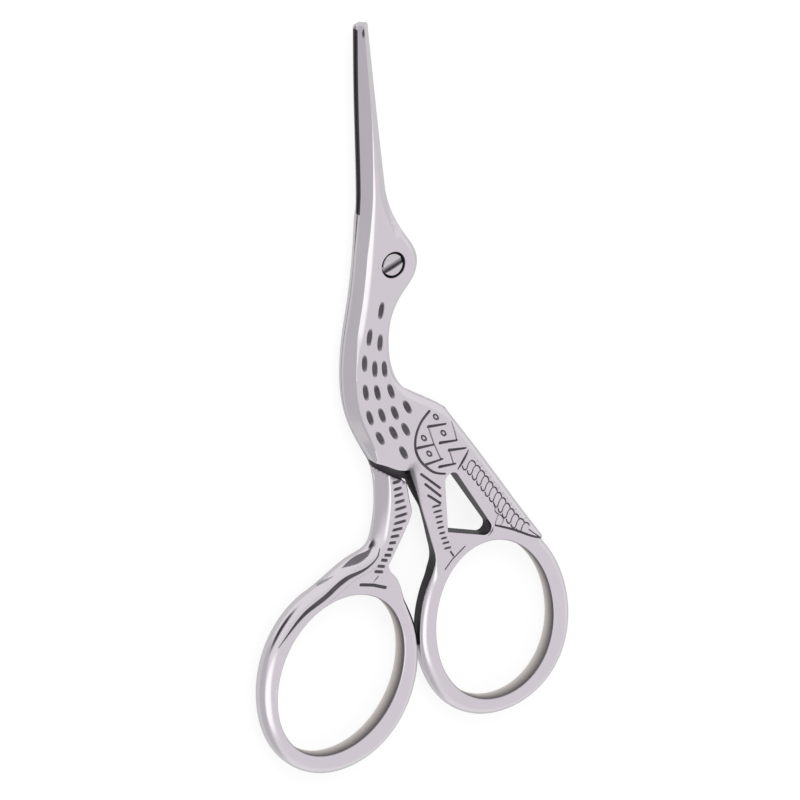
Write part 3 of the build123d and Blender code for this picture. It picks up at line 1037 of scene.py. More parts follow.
def slope(y, body_level, ring_level):
    """Level of a leg between the body and the ring, easing in and out."""
    top, foot = PIVOT_Y + LEG_SLOPE_SHARES[0] * LEG_REACH, PIVOT_Y + LEG_SLOPE_SHARES[1] * LEG_REACH
    share = np.clip((top - y) / (top - foot), 0, 1)
    share = share * share * (3 - 2 * share) * 0.5 + share * 0.5
    return body_level + (ring_level - body_level) * share


def stretches(line, *sections, cuts=()):
    """Stretches of an Edge between the cuts of a line, each from one section to the next."""
    ends = [0, *cuts, len(line) - 1]
    sections = sections if len(sections) > 1 else sections * 2
    return [
        (line[first:last + 1], start, end)
        for first, last, start, end in zip(ends, ends[1:], sections, sections[1:])
    ]


def combine(edges, places, soft=0.06):
    """How far all the edges lower the face together."""
    made = edges[0].drop(places)
    for edge in edges[1:]:
        made = blend_up(made, edge.drop(places), soft)
    return np.where(made < soft / 4 + 1e-9, 0, made)


class Marks:
    """Engraved marks of one face."""

    def __init__(self, stamps, strokes):
        self.stamps, self.strokes = stamps, strokes

    def most(self, places, which):
        """The largest depth or shade that any mark gives at each place."""
        made = np.zeros(len(places))
        for mark in self.stamps:
            close = np.flatnonzero(np.hypot(*(places - mark.place).T) < mark.reach())
            if len(close):
                made[close] = np.maximum(made[close], getattr(mark, which)(places[close]))
        for mark in self.strokes:
            low, high = mark.points.min(0) - mark.reach(), mark.points.max(0) + mark.reach()
            close = np.flatnonzero(np.all((places > low) & (places < high), 1))
            if len(close):
                made[close] = np.maximum(made[close], getattr(mark, which)(places[close]))
        return made

    def depth(self, places):
        return self.most(places, "depth")

    def loops(self):
        """Lines along which the mesh follows the marks."""
        made = []
        kinds = sorted({(mark.fullness, inset) for mark in self.stamps for inset in mark.insets()})
        for fullness, inset in kinds:
            alike = [mark for mark in self.stamps if mark.fullness == fullness and inset in mark.insets()]
            made += laid_stamps(alike, inset, fullness)
        for mark in self.strokes:
            made += mark.loops()
        return made


def stamp_tree():
    """Geometry Nodes that set a rounded dent's outline at each point, sized and turned by its attributes."""
    tree = bpy.data.node_groups.new("Laid dents", "GeometryNodeTree")
    face = tree.interface
    sockets = {"Geometry": "Geometry", "Inset": "Float", "Fullness": "Float", "Finish": "Material"}
    for name, kind in sockets.items():
        face.new_socket(name, in_out="INPUT", socket_type="NodeSocket" + kind)
    face.new_socket("Geometry", in_out="OUTPUT", socket_type="NodeSocketGeometry")
    desk = Desk(tree)
    given = desk.node("NodeGroupInput")
    ring = desk.node("GeometryNodeMeshCircle", {"fill_type": "NGON"}, Vertices=Stamp.POINTS, Radius=1.0)
    where = desk.node("GeometryNodeInputPosition").out("Position")
    apart = desk.node("ShaderNodeSeparateXYZ", {}, where)
    power = 2.0 / given.out("Fullness")
    fuller = []
    for axis in ("X", "Y"):
        value = apart.out(axis)
        size = desk.node("ShaderNodeMath", {"operation": "ABSOLUTE"}, value).out("Value") ** power
        sign = desk.node("ShaderNodeMath", {"operation": "SIGN"}, value).out("Value")
        fuller.append(size * sign)
    shape = desk.node("ShaderNodeCombineXYZ", {}, fuller[0], fuller[1], 0.0)
    dent = desk.node("GeometryNodeSetPosition", {}, Geometry=ring.out("Mesh"), Position=shape.out("Vector"))
    wide, long, turn = (
        desk.node("GeometryNodeInputNamedAttribute", {"data_type": "FLOAT"}, Name=name).out("Attribute")
        for name in ("wide", "long", "turn")
    )
    inset = given.out("Inset")
    size = desk.node("ShaderNodeCombineXYZ", {}, wide / 2 - inset, long / 2 - inset, 1.0)
    spin = desk.node("ShaderNodeCombineXYZ", {}, 0.0, 0.0, turn)
    points = desk.node("GeometryNodeMeshToPoints", {}, Mesh=given.out("Geometry"))
    laid = desk.node(
        "GeometryNodeInstanceOnPoints", {}, Points=points.out("Points"), Instance=dent.out("Geometry"),
        Rotation=spin.out("Vector"), Scale=size.out("Vector"),
    )
    real = desk.node("GeometryNodeRealizeInstances", {}, Geometry=laid.out("Instances"))
    finish = desk.node(
        "GeometryNodeSetMaterial", {}, Geometry=real.out("Geometry"), Material=given.out("Finish")
    )
    end = tree.nodes.new("NodeGroupOutput")
    tree.links.new(finish.out("Geometry").socket, end.inputs[0])
    return tree


def laid_stamps(stamps, inset, fullness):
    """Outline of each dent, laid out by the node tree, made smaller by an inset."""
    tree = bpy.data.node_groups.get("Laid dents") or stamp_tree()
    seeds = bpy.data.meshes.new("Dent places")
    seeds.from_pydata([(*mark.place, 0) for mark in stamps], [], [])
    for name, values in (
        ("wide", [2 * mark.half[0] for mark in stamps]),
        ("long", [2 * mark.half[1] for mark in stamps]),
        ("turn", [mark.turn for mark in stamps]),
    ):
        seeds.attributes.new(name, "FLOAT", "POINT").data.foreach_set("value", values)
    holder = bpy.data.objects.new("Dent places", seeds)
    bpy.context.scene.collection.objects.link(holder)
    modifier = holder.modifiers.new("Laid dents", "NODES")
    modifier.node_group = tree
    values = {"Inset": inset, "Fullness": fullness, "Finish": bpy.data.materials["Painted shade steel"]}
    for item in tree.interface.items_tree:
        if item.in_out == "INPUT" and item.name in values:
            modifier[item.identifier] = values[item.name]
    graph = bpy.context.evaluated_depsgraph_get()
    laid = bpy.data.meshes.new_from_object(holder.evaluated_get(graph))
    loops = []
    for polygon in laid.polygons:
        loop = np.array([laid.vertices[i].co[:2] for i in polygon.vertices])
        loops.append(closed(loop))
    bpy.data.objects.remove(holder)
    bpy.data.meshes.remove(laid)
    return loops


class Value:
    """A socket that takes part in Python sums."""

    def __init__(self, desk, socket):
        self.desk, self.socket = desk, socket

    def sum(self, operation, *values):
        """The result of a maths node."""
        return self.desk.node("ShaderNodeMath", {"operation": operation}, *values).out(0)

    def __add__(self, other):
        return self.sum("ADD", self, other)

    __radd__ = __add__

    def __mul__(self, other):
        return self.sum("MULTIPLY", self, other)

    __rmul__ = __mul__

    def __sub__(self, other):
        return self.sum("SUBTRACT", self, other)

    def __rsub__(self, other):
        return self.sum("SUBTRACT", other, self)

    def __truediv__(self, other):
        return self.sum("DIVIDE", self, other)

    def __rtruediv__(self, other):
        return self.sum("DIVIDE", other, self)

    def __pow__(self, other):
        return self.sum("POWER", self, other)

    def most(self, other):
        """The larger of this and another value."""
        return self.sum("MAXIMUM", self, other)


class Made:
    """A node, asked for its outputs by name or number."""

    def __init__(self, desk, node):
        self.desk, self.made = desk, node

    def out(self, which):
        """One of its outputs, ready for sums."""
        return Value(self.desk, self.made.outputs[which])


class Desk:
    """A node tree under work."""

    def __init__(self, tree):
        self.tree = tree

    def node(self, kind, settings=None, *values, **named):
        """Adds a node; its inputs are given in their order or by name, as values or as sockets."""
        node = self.tree.nodes.new(kind)
        for key, value in (settings or {}).items():
            setattr(node, key, value)
        pairs = list(zip(node.inputs, values)) + [(node.inputs[name], value) for name, value in named.items()]
        for socket, value in pairs:
            if isinstance(value, Value):
                self.tree.links.new(value.socket, socket)
            elif value is not None:
                socket.default_value = value
        return Made(self, node)

    def mix(self, factor, first, second):
        """A colour that goes from the first to the second by a factor."""
        return self.node("ShaderNodeMix", {"data_type": "RGBA"}, Factor=factor, A=first, B=second).out(2)


def fresh(owner):
    """A desk on the emptied node tree of a material or a world."""
    owner.use_nodes = True
    owner.node_tree.nodes.clear()
    return Desk(owner.node_tree)


def steel(name, tint, rough, painted_shade_tint, scratch=1.0):
    """Polished steel with fine draw marks and faint unevenness, darkened and dulled by the painted shade held
    in a vertex attribute.
    """
    desk = fresh(bpy.data.materials.new(name))
    place = desk.node("ShaderNodeTexCoord").out("Object")
    painted_shade = desk.node("ShaderNodeAttribute", {"attribute_name": "painted_shade"}).out("Fac")
    cloud = desk.node("ShaderNodeTexNoise", {}, place, Scale=260.0, Detail=3.0, Roughness=0.5).out("Fac")
    broad = desk.node("ShaderNodeTexNoise", {}, place, Scale=90.0, Detail=2.0, Roughness=0.4).out("Fac")
    drawn = desk.node(
        "ShaderNodeMapping", {}, Vector=place, Scale=(9000.0, 350.0, 9000.0), Rotation=(0.0, 0.0, 0.35)
    ).out("Vector")
    scratches = desk.node("ShaderNodeTexNoise", {}, drawn, Scale=1.0, Detail=2.0, Roughness=0.6).out("Fac")
    # Painted shade: the vertex attribute turns the colour towards the shade tint and dulls the steel in the
    # cut marks, along the hole brinks, in gaps and in the screw's slot
    tone = desk.mix(painted_shade, (*tint, 1.0), (*painted_shade_tint, 1.0))
    dulled = (tint[0] * 0.8, tint[1] * 0.8, tint[2] * 0.82, 1.0)
    smudged = desk.mix((cloud - 0.5) * 0.25 + 0.1, tone, dulled)
    uneven = rough + (cloud - 0.5) * 0.06 + (scratches - 0.5) * 0.05 * scratch + painted_shade * 0.3
    relief = broad * WAVE_HIGH + scratches * (SCRATCH_HIGH * scratch)
    bump = desk.node("ShaderNodeBump", {}, Strength=1.0, Distance=1.0, Height=relief).out("Normal")
    shader = desk.node(
        "ShaderNodeBsdfPrincipled", {}, smudged, Roughness=uneven, Normal=bump, Metallic=1.0 - painted_shade * 0.35
    )
    desk.node("ShaderNodeOutputMaterial", {}, shader.out("BSDF"))


# Where the plan's origin lies for the marks, and how a mark moves for each millimetre that its
# face lies below the body's
MARKS_ORIGIN = (0.26, 33.72)
MARKS_SHIFT = (0.612, -0.527)


def seen(x, y, sunk=0.0):
    """Place on the plan of a mark that was laid out on the level of the body's face.

    sunk is how far the surface under it lies below that level, in millimetres.
    """
    return (x - MARKS_ORIGIN[0] + MARKS_SHIFT[0] * sunk, y - MARKS_ORIGIN[1] + MARKS_SHIFT[1] * sunk)


def sunk_at(y):
    """How far the face of the right leg and the tail lies below the body's face."""
    return float(TOP - slope(np.array([y - RINGS_DROP]), TOP, RIM_HIGH)[0])


FEATHERS = [
    (-1.9, 45.4, -14), (-3.8, 42.5, -12), (-2.4, 41.4, -8), (-4.75, 39.4, -4), (-3.4, 38.3, -2),
    (-2.06, 37.9, 2), (-4.9, 35.7, 5), (-3.3, 35.2, 10), (-1.4, 34.8, 16), (-4.6, 32.3, 15),
    (-2.9, 32.1, 17), (-1.1, 31.9, 20), (0.7, 32.1, 25), (-3.4, 29.25, 25), (-1.5, 29.4, 25),
    (0.25, 29.3, 25), (-0.3, 26.4, 25),
]
WING_ARC = [
    (3.7, 30.6), (2.6, 29.7), (1.9, 28.7), (1.5, 27.6), (1.4, 26.5), (1.7, 25.2), (2.1, 24.4), (2.8, 23.5),
    (3.7, 22.6), (4.6, 22.1), (5.4, 21.8),
]
WING_BARS = [
    ((3.4, 28.7), (5.9, 28.3)), ((1.7, 26.4), (4.0, 26.15)), ((4.9, 26.1), (7.35, 25.7)),
    ((6.1, 24.75), (8.5, 24.3)), ((2.6, 23.9), (5.1, 23.9)), ((4.6, 23.0), (6.9, 22.7)),
]
WING_LINES = [
    ((3.4, 28.7), (4.05, 26.2), (4.9, 23.9)), ((6.1, 24.9), (6.6, 22.9)), ((6.9, 28.2), (7.3, 25.8)),
]
WING_OVALS = [(4.6, 29.6), (2.7, 27.4), (5.5, 27.2), (3.3, 25.15)]
LEG_DIAGONALS = [((1.9, 22.9), (4.5, 20.2)), ((2.4, 21.4), (4.5, 19.1)), ((2.7, 19.8), (4.4, 18.2))]
RIGHT_LEG_BARS = [
    (18.0, 3.1, 4.5), (17.25, 3.25, 4.6), (16.5, 3.5, 4.6), (15.75, 3.6, 4.6), (15.0, 3.7, 4.7),
    (14.2, 3.9, 4.8), (13.45, 4.1, 5.0), (12.75, 4.25, 5.3), (12.0, 4.4, 5.5),
]
RIGHT_FOOT_LINES = [((5.3, 11.4), (5.7, 10.7)), ((4.4, 9.3), (5.5, 10.3), (7.4, 11.4))]
LEFT_LEG_BARS = [
    (22.95, -2.2, -1.0), (22.0, -2.1, -0.9), (21.15, -2.1, -0.75), (20.25, -2.1, -0.6), (19.35, -2.2, -0.4),
    (18.4, -2.3, -0.35), (17.55, -2.5, -0.6), (16.75, -2.75, -1.2), (15.95, -3.05, -1.75), (15.2, -3.3, -2.3),
    (14.45, -3.6, -2.8), (13.8, -4.1, -3.1), (13.3, -4.6, -3.7), (12.65, -5.2, -4.1), (12.05, -5.7, -4.4),
]
LEFT_FOOT_LINES = [
    ([(-5.2, 11.5), (-5.8, 11.0)], 0.24), ([(-7.75, 11.2), (-6.0, 10.6), (-4.3, 9.7)], 0.42),
]


def bar(x0, x1, y, tilt, sunk, wide=0.5, deep=0.11):
    """A short cut bar from x0 to x1, its right end lower by the tilt; its darkness is painted shade."""
    start, end = np.array(seen(x0, y + tilt / 2, sunk)), np.array(seen(x1, y - tilt / 2, sunk))
    middle, run = (start + end) / 2, end - start
    turn = np.degrees(np.arctan2(run[1], run[0])) - 90
    return Stamp(middle[0], middle[1], hypot(*run) + wide * 0.4, wide, turn, deep, wall=0.08, fullness=4.0)


def on_leg(line):
    """Places of a line that was laid out over the right leg or the tail."""
    return [seen(*place, sunk_at(place[1])) for place in line]


def front_marks(feather):
    """Feathers, wing, tail and right leg; feather is the length, width and depth of a feather's dent."""
    long, wide, deep = feather
    stamps = [
        Stamp(*seen(x, y), long, wide, turn, deep, fullness=2.1, pale=0.3) for x, y, turn in FEATHERS
    ]
    stamps += [
        Stamp(*seen(x, y), 1.2, 0.66, 38, 0.12, wall=0.07, fullness=2.1, groove=0.2) for x, y in WING_OVALS
    ]
    stamps += [bar(x0, x1, y, 0.1, sunk_at(y), wide=0.38) for y, x0, x1 in RIGHT_LEG_BARS]
    strokes = [Stroke([seen(*p) for p in WING_ARC], 0.46, 0.17, wide_end=0.28, curved=True)]
    strokes += [Stroke([seen(*a), seen(*b)], 0.42, 0.17, wide_end=0.28) for a, b in WING_BARS]
    strokes += [Stroke([seen(*p) for p in line], 0.22, 0.1, tone=0.85) for line in WING_LINES]
    strokes += [Stroke(on_leg(line), 0.32, 0.14) for line in LEG_DIAGONALS]
    strokes += [Stroke(on_leg(line), 0.26, 0.14) for line in RIGHT_FOOT_LINES]
    strokes += tail_marks()
    strokes.append(Stroke(TIP_NICK, 0.12, 0.06, swell=0.2))
    strokes.append(Stroke(WINDOW_CRESCENT, 0.05, 0.1, swell=0.2, curved=True))
    return Marks(stamps, strokes)


# The braid cut along the tail: where its middle runs, and one dividing line of it in
# steps along the braid and half lengths of a cell across it
BRAID_LINE = [(8.4, 22.25), (9.75, 20.45), (11.5, 17.6), (13.2, 14.9), (14.9, 12.25), (16.3, 10.8)]
BRAID_CELLS = 14
BRAID_ACROSS = (0.52, 0.43)
BRAID_DIVIDER = [
    (-0.72, -0.8), (-0.5, -0.97), (-0.14, -1.04), (0.06, -0.78), (-0.07, -0.25), (-0.24, 0.5), (-0.18, 1.05),
    (0.14, 1.27), (0.46, 1.24), (0.68, 1.08),
]
BRAID_TOOTH = [(0.5, 1.5), (0.62, 1.85)]
TAIL_LINES = [
    ([(7.2, 21.9), (8.05, 22.8), (8.85, 23.9)], 0.2, 0.25),
    ([(11.9, 16.0), (12.15, 15.3), (12.1, 14.8), (12.6, 14.1)], 0.16, 0.0),
    ([(12.6, 14.1), (12.2, 13.5), (12.0, 12.9)], 0.16, 0.0),
    ([(12.75, 14.0), (13.2, 13.4), (13.0, 12.7), (12.6, 12.5)], 0.16, 0.0),
    ([(12.0, 12.8), (13.9, 11.8), (15.3, 10.95), (16.7, 10.0), (18.6, 8.9)], 0.24, 0.06),
    ([(16.8, 10.7), (17.5, 10.0), (18.6, 8.9)], 0.16, 0.0),
]
WINDOW_CRESCENT = [(11.1, -22.42), (11.68, -22.05), (11.95, -21.4)]
TIP_NICK = [(-1.2, 46.6), (-1.3, 45.6)]


def tail_marks():
    """Cut lines of the braid along the tail and of its borders."""
    middle = smooth_line(BRAID_LINE)
    middle = evened(middle, distances(middle)[-1] / (BRAID_CELLS - 1))
    across = np.array(BRAID_ACROSS)
    made = []
    for here, after in zip(middle, middle[1:]):
        step = after - here
        origin = here + step / 2
        for shape, wide, tone in ((BRAID_DIVIDER, 0.2, 1.0), (BRAID_TOOTH, 0.12, 0.7)):
            line = [origin + step * a + across * b for a, b in shape]
            made.append(Stroke(on_leg(line), wide, 0.09, wall=0.05, curved=True, tone=tone))
    for line, wide, swell in TAIL_LINES:
        made.append(Stroke(on_leg(line), wide, 0.12, wall=0.06, curved=True, swell=swell))
    return made


# Creases where the left leg's bevel runs into the ring, shallow in the mesh; their darkness is a painted
# reflection of the dark streaks there
CREASE = [
    (-4.35, -19.2), (-4.8, -20.1), (-5.8, -20.85), (-7.3, -21.3), (-8.9, -21.5), (-10.4, -22.0),
    (-12.4, -23.0), (-15.4, -24.2), (-17.5, -25.7), (-19.5, -27.5),
]
OUTER_LENS = [(-9.5, -20.25), (-8.2, -19.95), (-7.0, -19.75), (-5.8, -19.4), (-5.1, -18.9)]
OUTER_LENS_LOW = [(-13.2, -21.6), (-12.0, -21.2), (-10.9, -20.9)]
FINE_CREASE = [(-4.1, -20.9), (-5.2, -21.45), (-6.6, -21.8), (-8.4, -22.2), (-10.2, -23.0), (-12.0, -23.8)]


def left_leg_marks():
    """Bars down the left leg, its foot marks and the creases at its ring, the creases darkened as a painted
    reflection.
    """
    sunk = TOP - RIM_HIGH
    stamps = []
    for number, (y, x0, x1) in enumerate(LEFT_LEG_BARS):
        tilt = 0.05 if number < 6 else 0.1 + 0.05 * (number - 6)
        stamps.append(bar(x0, x1, y, tilt, sunk, wide=0.46))
    strokes = [Stroke([seen(*p, sunk) for p in line], wide, 0.16) for line, wide in LEFT_FOOT_LINES]
    strokes.append(Stroke(CREASE, 0.12, 0.1, curved=True, swell=0.6))
    strokes.append(Stroke(OUTER_LENS, 0.08, 0.12, curved=True, swell=0.75, tone=0.85))
    strokes.append(Stroke(OUTER_LENS_LOW, 0.06, 0.06, curved=True, swell=0.2, tone=0.6))
    strokes.append(Stroke(FINE_CREASE, 0.08, 0.03, wall=0.04, curved=True, tone=0.5))
    return Marks(stamps, strokes)


def build_front(feather):
    """The front half: blade, body, right leg, tail and right ring."""
    runs = front_plan()
    hole = oval(**RIGHT_HOLE)[::-1]
    window = rounded_corners(spots(WINDOW_SHARES), WINDOW_ROUNDS)
    if cross2(np.roll(window, -1, 0), window).sum() < 0:
        window = window[::-1]
    bore = circle(FRONT_BORE_R)[::-1]
    head, tip = spot(BEAK_RIGHT_SHARES[0]), spot(BEAK_RIGHT_SHARES[-1])
    front_edge, leg, ring = runs["front_edge"], runs["leg"], runs["ring"]
    rim = Edge([
        *stretches(front_edge[:SPINE_EVEN_SAMPLES], SPINE_BEAK_SECTION),
        *stretches(front_edge[SPINE_EVEN_SAMPLES:-SPINE_LAST_SAMPLES], SPINE_BEAK_SECTION, SPINE_SECTION),
        *stretches(front_edge[-SPINE_LAST_SAMPLES:], SPINE_SECTION, LAP_SECTION),
        *stretches(runs["lap"], LAP_SECTION),
        *stretches(leg, LEG_TOP, LEG_BREAK, LEG_BREAK, cuts=[LEG_CUT]),
        *stretches(ring, RING_SIDE, RING_SIDE, RING_SECTION, RING_SECTION, cuts=RING_CUTS),
        *stretches(runs["tail"], TAIL_SECTION),
        *stretches(runs["back_edge"], NAPE_SECTION),
    ], past=(2, 0), even=1.5)
    hone = Grind(head, tip, HONE_WIDE, 1)
    hole_edge = Edge(stretches(hole, HOLE_SECTION), is_closed=True)
    window_edge = Edge(stretches(window, EDGE_BREAK), is_closed=True)
    facet = Edge(stretches(
        front_edge[:FACET_SAMPLES], FACET_NONE, FACET_NONE, FACET_SECTION, FACET_SECTION, FACET_NONE,
        cuts=FACET_CUTS,
    ), past=(2, 0), even=1.5)
    upper_edges = [rim, facet, hone, hole_edge, window_edge]
    marks = front_marks(feather)

    split = spots(FRONT_SPLIT_SHARES)
    run = (split[1] - split[0]) / hypot(*(split[1] - split[0]))
    split = straight(split[0] - run * SPLIT_PAST, split[1] + run * SPLIT_PAST)
    split_line = Line(split)

    def upper(places):
        made = slope(places[:, 1], TOP, RIM_HIGH) - combine(upper_edges, places) - marks.depth(places)
        r = np.hypot(*(places - PIVOT).T)
        broken = np.clip((RECESS_R + RECESS_BREAK - r) / RECESS_BREAK, 0, 1)
        return np.where(r < RECESS_R - 0.01, RECESS_FLOOR, made - RECESS_BREAK_DEEP * broken)

    low_rim = Edge([
        *stretches(
            leg, LEG_ROOT_LOW, LEG_ROOT_LOW, LEG_MIDDLE_LOW, LEG_THIN_LOW, RING_SIDE_LOW, cuts=LEG_LOW_CUTS
        ),
        *stretches(
            ring, RING_SIDE_LOW, RING_SIDE_LOW, RING_LOW_SECTION, RING_LOW_SECTION, cuts=RING_CUTS
        ),
        *stretches(runs["tail"], EDGE_BREAK),
    ], even=0.8)
    lower_edges = [low_rim, hole_edge, window_edge]

    def lower(places):
        below = 1 - step_over(split_line, places)
        handle = RIM_LOW + combine(lower_edges, places)
        handle = np.minimum(handle, slope(places[:, 1], TOP, RIM_HIGH) - FRONT_LEAST)
        return FRONT_LOW + below * (np.minimum(handle, FRONT_LOW + FRONT_RISE) - FRONT_LOW)

    # Painted shade: these walls, the window's and the bore's get near-black steel, and the hole's walls steel
    # with a painted warm reflection
    dark_runs = [leg, runs["lap"], ring[:RING_CUTS[0] + 1], front_edge[:DARK_BEAK_SAMPLES]]
    walls = [(0, SHADE_PAINTED_WALL, dark_runs), (1, IN_HOLE, None), (2, SHADE_PAINTED_WALL, None), (3, SHADE_PAINTED_WALL, None)]
    solid = Solid("front_half_steel", [outline(runs), hole, window, bore], upper, lower, walls)
    for gap in (-STEP_HALF, STEP_HALF):
        solid.through("lower", beside(split, gap))
    for radius in (RECESS_R + RECESS_BREAK, RECESS_R, RECESS_R - 0.02):
        solid.lines["upper"].append(closed(circle(radius)))
    solid.within("upper", ridge(rim, hone, tip[1] - RIDGE_REACH, tip[1]))
    add_guides(solid, upper_edges, lower_edges, marks)
    hole_line, leg_line = Line(hole, True), Line(leg[:DARK_LEG_SAMPLES])

    # Painted shade: the cut marks, the screw's seat and the gap round its head, a fine line along the hole's
    # brink, and a shadow fading down the top of the right leg
    def shade(places):
        made = marks.most(places, "shade")
        r = np.hypot(*(places - PIVOT).T)
        made = np.where(r < RECESS_R + 0.01, 1.0, made)
        made = np.maximum(made, hole_shade(hole_line, places))
        gap, along = leg_line.near(places)
        fade = 1 - along / len(leg_line.points)
        dark = np.clip((LEG_DARK_REACH * fade - gap) / LEG_DARK_SOFT, 0, 1)
        return np.maximum(made, LEG_DARK * dark * fade)

    return solid, shade


def ridge(first, second, low, high):
    """The line where two ground faces meet, from low to high along the beak."""
    made = []
    for y in np.arange(low, high, 0.25):
        row = np.column_stack([np.arange(-4, 2, 0.01), np.full(600, y)])
        change = first.drop(row) - second.drop(row)
        turns = np.flatnonzero((change[:-1] > 0) & (change[1:] <= 0) & (second.drop(row)[1:] > 0.02))
        if len(turns):
            made.append(row[turns[0]])
    return np.array(made)


def hole_shade(line, places):
    """A fine line of painted shade along the brink of a finger hole."""
    gap, _ = line.near(places)
    return BRINK_DARK * np.clip(1 - (gap - BRINK_CLEAR) / BRINK_SOFT, 0, 1)


def near(place, line):
    """Whether a place lies on a line."""
    return line.near(np.array([place]))[0][0] < 0.05


def add_guides(solid, upper_edges, lower_edges, marks, lines=()):
    """Lets the mesh of a solid follow its bevels, its ground faces, its marks and other lines."""
    for side, edges in (("upper", upper_edges), ("lower", lower_edges)):
        for edge in edges:
            for points, keep in edge.guides():
                solid.within(side, points, keep)
    for line in [*lines, *marks.loops()]:
        solid.within("upper", line)


def build_back():
    """The back half: blade, body, left leg and left ring."""
    runs = back_plan()
    hole = oval(**LEFT_HOLE)[::-1]
    bore = circle(BACK_BORE_R)[::-1]
    outer_edge = Edge([
        *stretches(runs["outer"], LEFT_LEG_SECTION, LEFT_LEG_LOW_SECTION),
        *stretches(runs["ring"], RING_SECTION),
        *stretches(runs["ankle"], LEG_BREAK),
        *stretches(runs["inner"], LEG_BREAK),
    ], past=(1.5, 0), even=2.5)
    hole_edge = Edge(stretches(hole, HOLE_SECTION), is_closed=True)
    upper_edges = [outer_edge, hole_edge]
    shoulder = straight(*SHOULDER)
    shoulder_line = Line(shoulder)
    marks = left_leg_marks()

    def upper(places):
        leg = step_over(shoulder_line, places)
        level = RIM_HIGH - combine(upper_edges, places) - marks.depth(places)
        return BACK_HIGH + leg * (np.maximum(level, BACK_HIGH) - BACK_HIGH)

    tip_left, tip_right = spot(FRONT_EDGE_SHARES[0]), spot(BEAK_RIGHT_SHARES[-1])
    head_left, head_right = spot(FRONT_EDGE_SHARES[3]), spot(BEAK_RIGHT_SHARES[0])
    back_hone = Grind(head_left, tip_left, HONE_WIDE, -1)
    back_spine = Grind(head_right, tip_right, SPINE_WIDE, 1)
    breast = Edge([
        *stretches(runs["front_edge"], SPINE_BEAK_SECTION, SPINE_SECTION),
        *stretches(runs["outer"], UNDERCUT_SECTION, UNDERCUT_LOW_SECTION),
        *stretches(runs["ring"], RING_LOW_SECTION),
        *stretches(runs["ankle"], LEG_BREAK),
        *stretches(runs["inner"], LEG_BREAK),
        *stretches(runs["split"], LEG_BREAK),
        *stretches(runs["back_edge"], NAPE_SECTION),
    ], past=(2, 0), even=1.5)
    lower_edges = [breast, back_hone, back_spine, hole_edge]

    def lower(places):
        level = slope(places[:, 1], 0, RIM_LOW)
        grown = np.clip((BACK_LEAST_Y - places[:, 1]) / BACK_LEAST_RUN, 0, 1)
        most = BACK_HIGH - BACK_LEAST - BACK_LEAST_STEP * grown
        return np.minimum(level + combine(lower_edges, places), most)

    # Painted shade: these walls and the bore's get near-black steel, and the hole's walls steel with a
    # painted warm reflection
    dark_runs = [runs["inner"], runs["split"], runs["ankle"]]
    walls = [(0, SHADE_PAINTED_WALL, dark_runs), (1, IN_HOLE, None), (2, SHADE_PAINTED_WALL, None)]
    solid = Solid("back_half_steel", [outline(runs), hole, bore], upper, lower, walls)
    for gap in (-STEP_HALF, STEP_HALF):
        solid.through("upper", beside(shoulder, gap))
    add_guides(solid, upper_edges, lower_edges, marks, [beside(shoulder, gap) for gap in SHOULDER_GUIDES])
    hole_line = Line(hole, True)

    # Painted shade: the cut marks and creases, a fine line along the hole's brink, and the face beside the
    # shoulder step, in the gap under the front half's lap
    def shade(places):
        made = np.maximum(marks.most(places, "shade"), hole_shade(hole_line, places))
        side = side_of(shoulder_line, places)
        return np.maximum(made, np.where(side > -CLEAR, np.clip(SHOULDER_DARK_REACH - side, 0, 1), 0))

    return solid, shade


def build_screw():
    """The slotted screw, turned about the pivot."""
    rim = circle(HEAD_R)
    dome_radius = (HEAD_R ** 2 + DOME_RISE ** 2) / (2 * DOME_RISE)
    turn = radians(SLOT_TURN)
    along = np.array([cos(turn), sin(turn)])
    across = np.array([-sin(turn), cos(turn)])

    def upper(places):
        r = np.hypot(*(places - PIVOT).T)
        dome = HEAD_RIM_Z + DOME_RISE - dome_radius + np.sqrt(dome_radius ** 2 - np.minimum(r, HEAD_R) ** 2)
        dome = dome - HEAD_BREAK_DEEP * np.clip((r - HEAD_R + HEAD_BREAK) / HEAD_BREAK, 0, 1) ** 2
        aside = np.abs((places - PIVOT) @ across)
        cut = np.clip((SLOT_WIDE / 2 + STEP_HALF - aside) / (2 * STEP_HALF), 0, 1)
        floor = HEAD_RIM_Z + DOME_RISE - SLOT_DEEP
        return dome + cut * (np.minimum(floor, dome) - dome)

    def lower(places):
        r = np.hypot(*(places - PIVOT).T)
        share = np.clip((BACK_BORE_R + STEP_HALF - r) / (2 * STEP_HALF), 0, 1)
        chamfer = SCREW_END_CHAMFER * np.clip((r - SCREW_END_R) / (BACK_BORE_R - SCREW_END_R), 0, 1)
        return HEAD_SEAT_Z + share * (SCREW_END_Z + chamfer - HEAD_SEAT_Z)

    solid = Solid("pivot_screw_steel", [rim], upper, lower)
    for side in (-1, 1):
        for gap in (-STEP_HALF, STEP_HALF):
            middle = np.array(PIVOT) + across * (side * SLOT_WIDE / 2 + gap)
            solid.through("upper", straight(middle - along * 2, middle + along * 2, step=0.2))
    for radius in HEAD_GUIDES:
        solid.lines["upper"].append(closed(circle(radius)))
    for radius in (BACK_BORE_R + STEP_HALF, BACK_BORE_R - STEP_HALF, SCREW_END_R):
        solid.lines["lower"].append(closed(circle(radius)))

    # Painted shade across the slot, from light on one side to dark on the other
    def shade(places):
        aside = np.abs((places - PIVOT) @ across)
        across_it = 0.5 - (places - PIVOT) @ across / SLOT_WIDE
        return np.where(aside < SLOT_WIDE / 2, np.clip(across_it, 0, 1), 0.0)

    return solid, shade


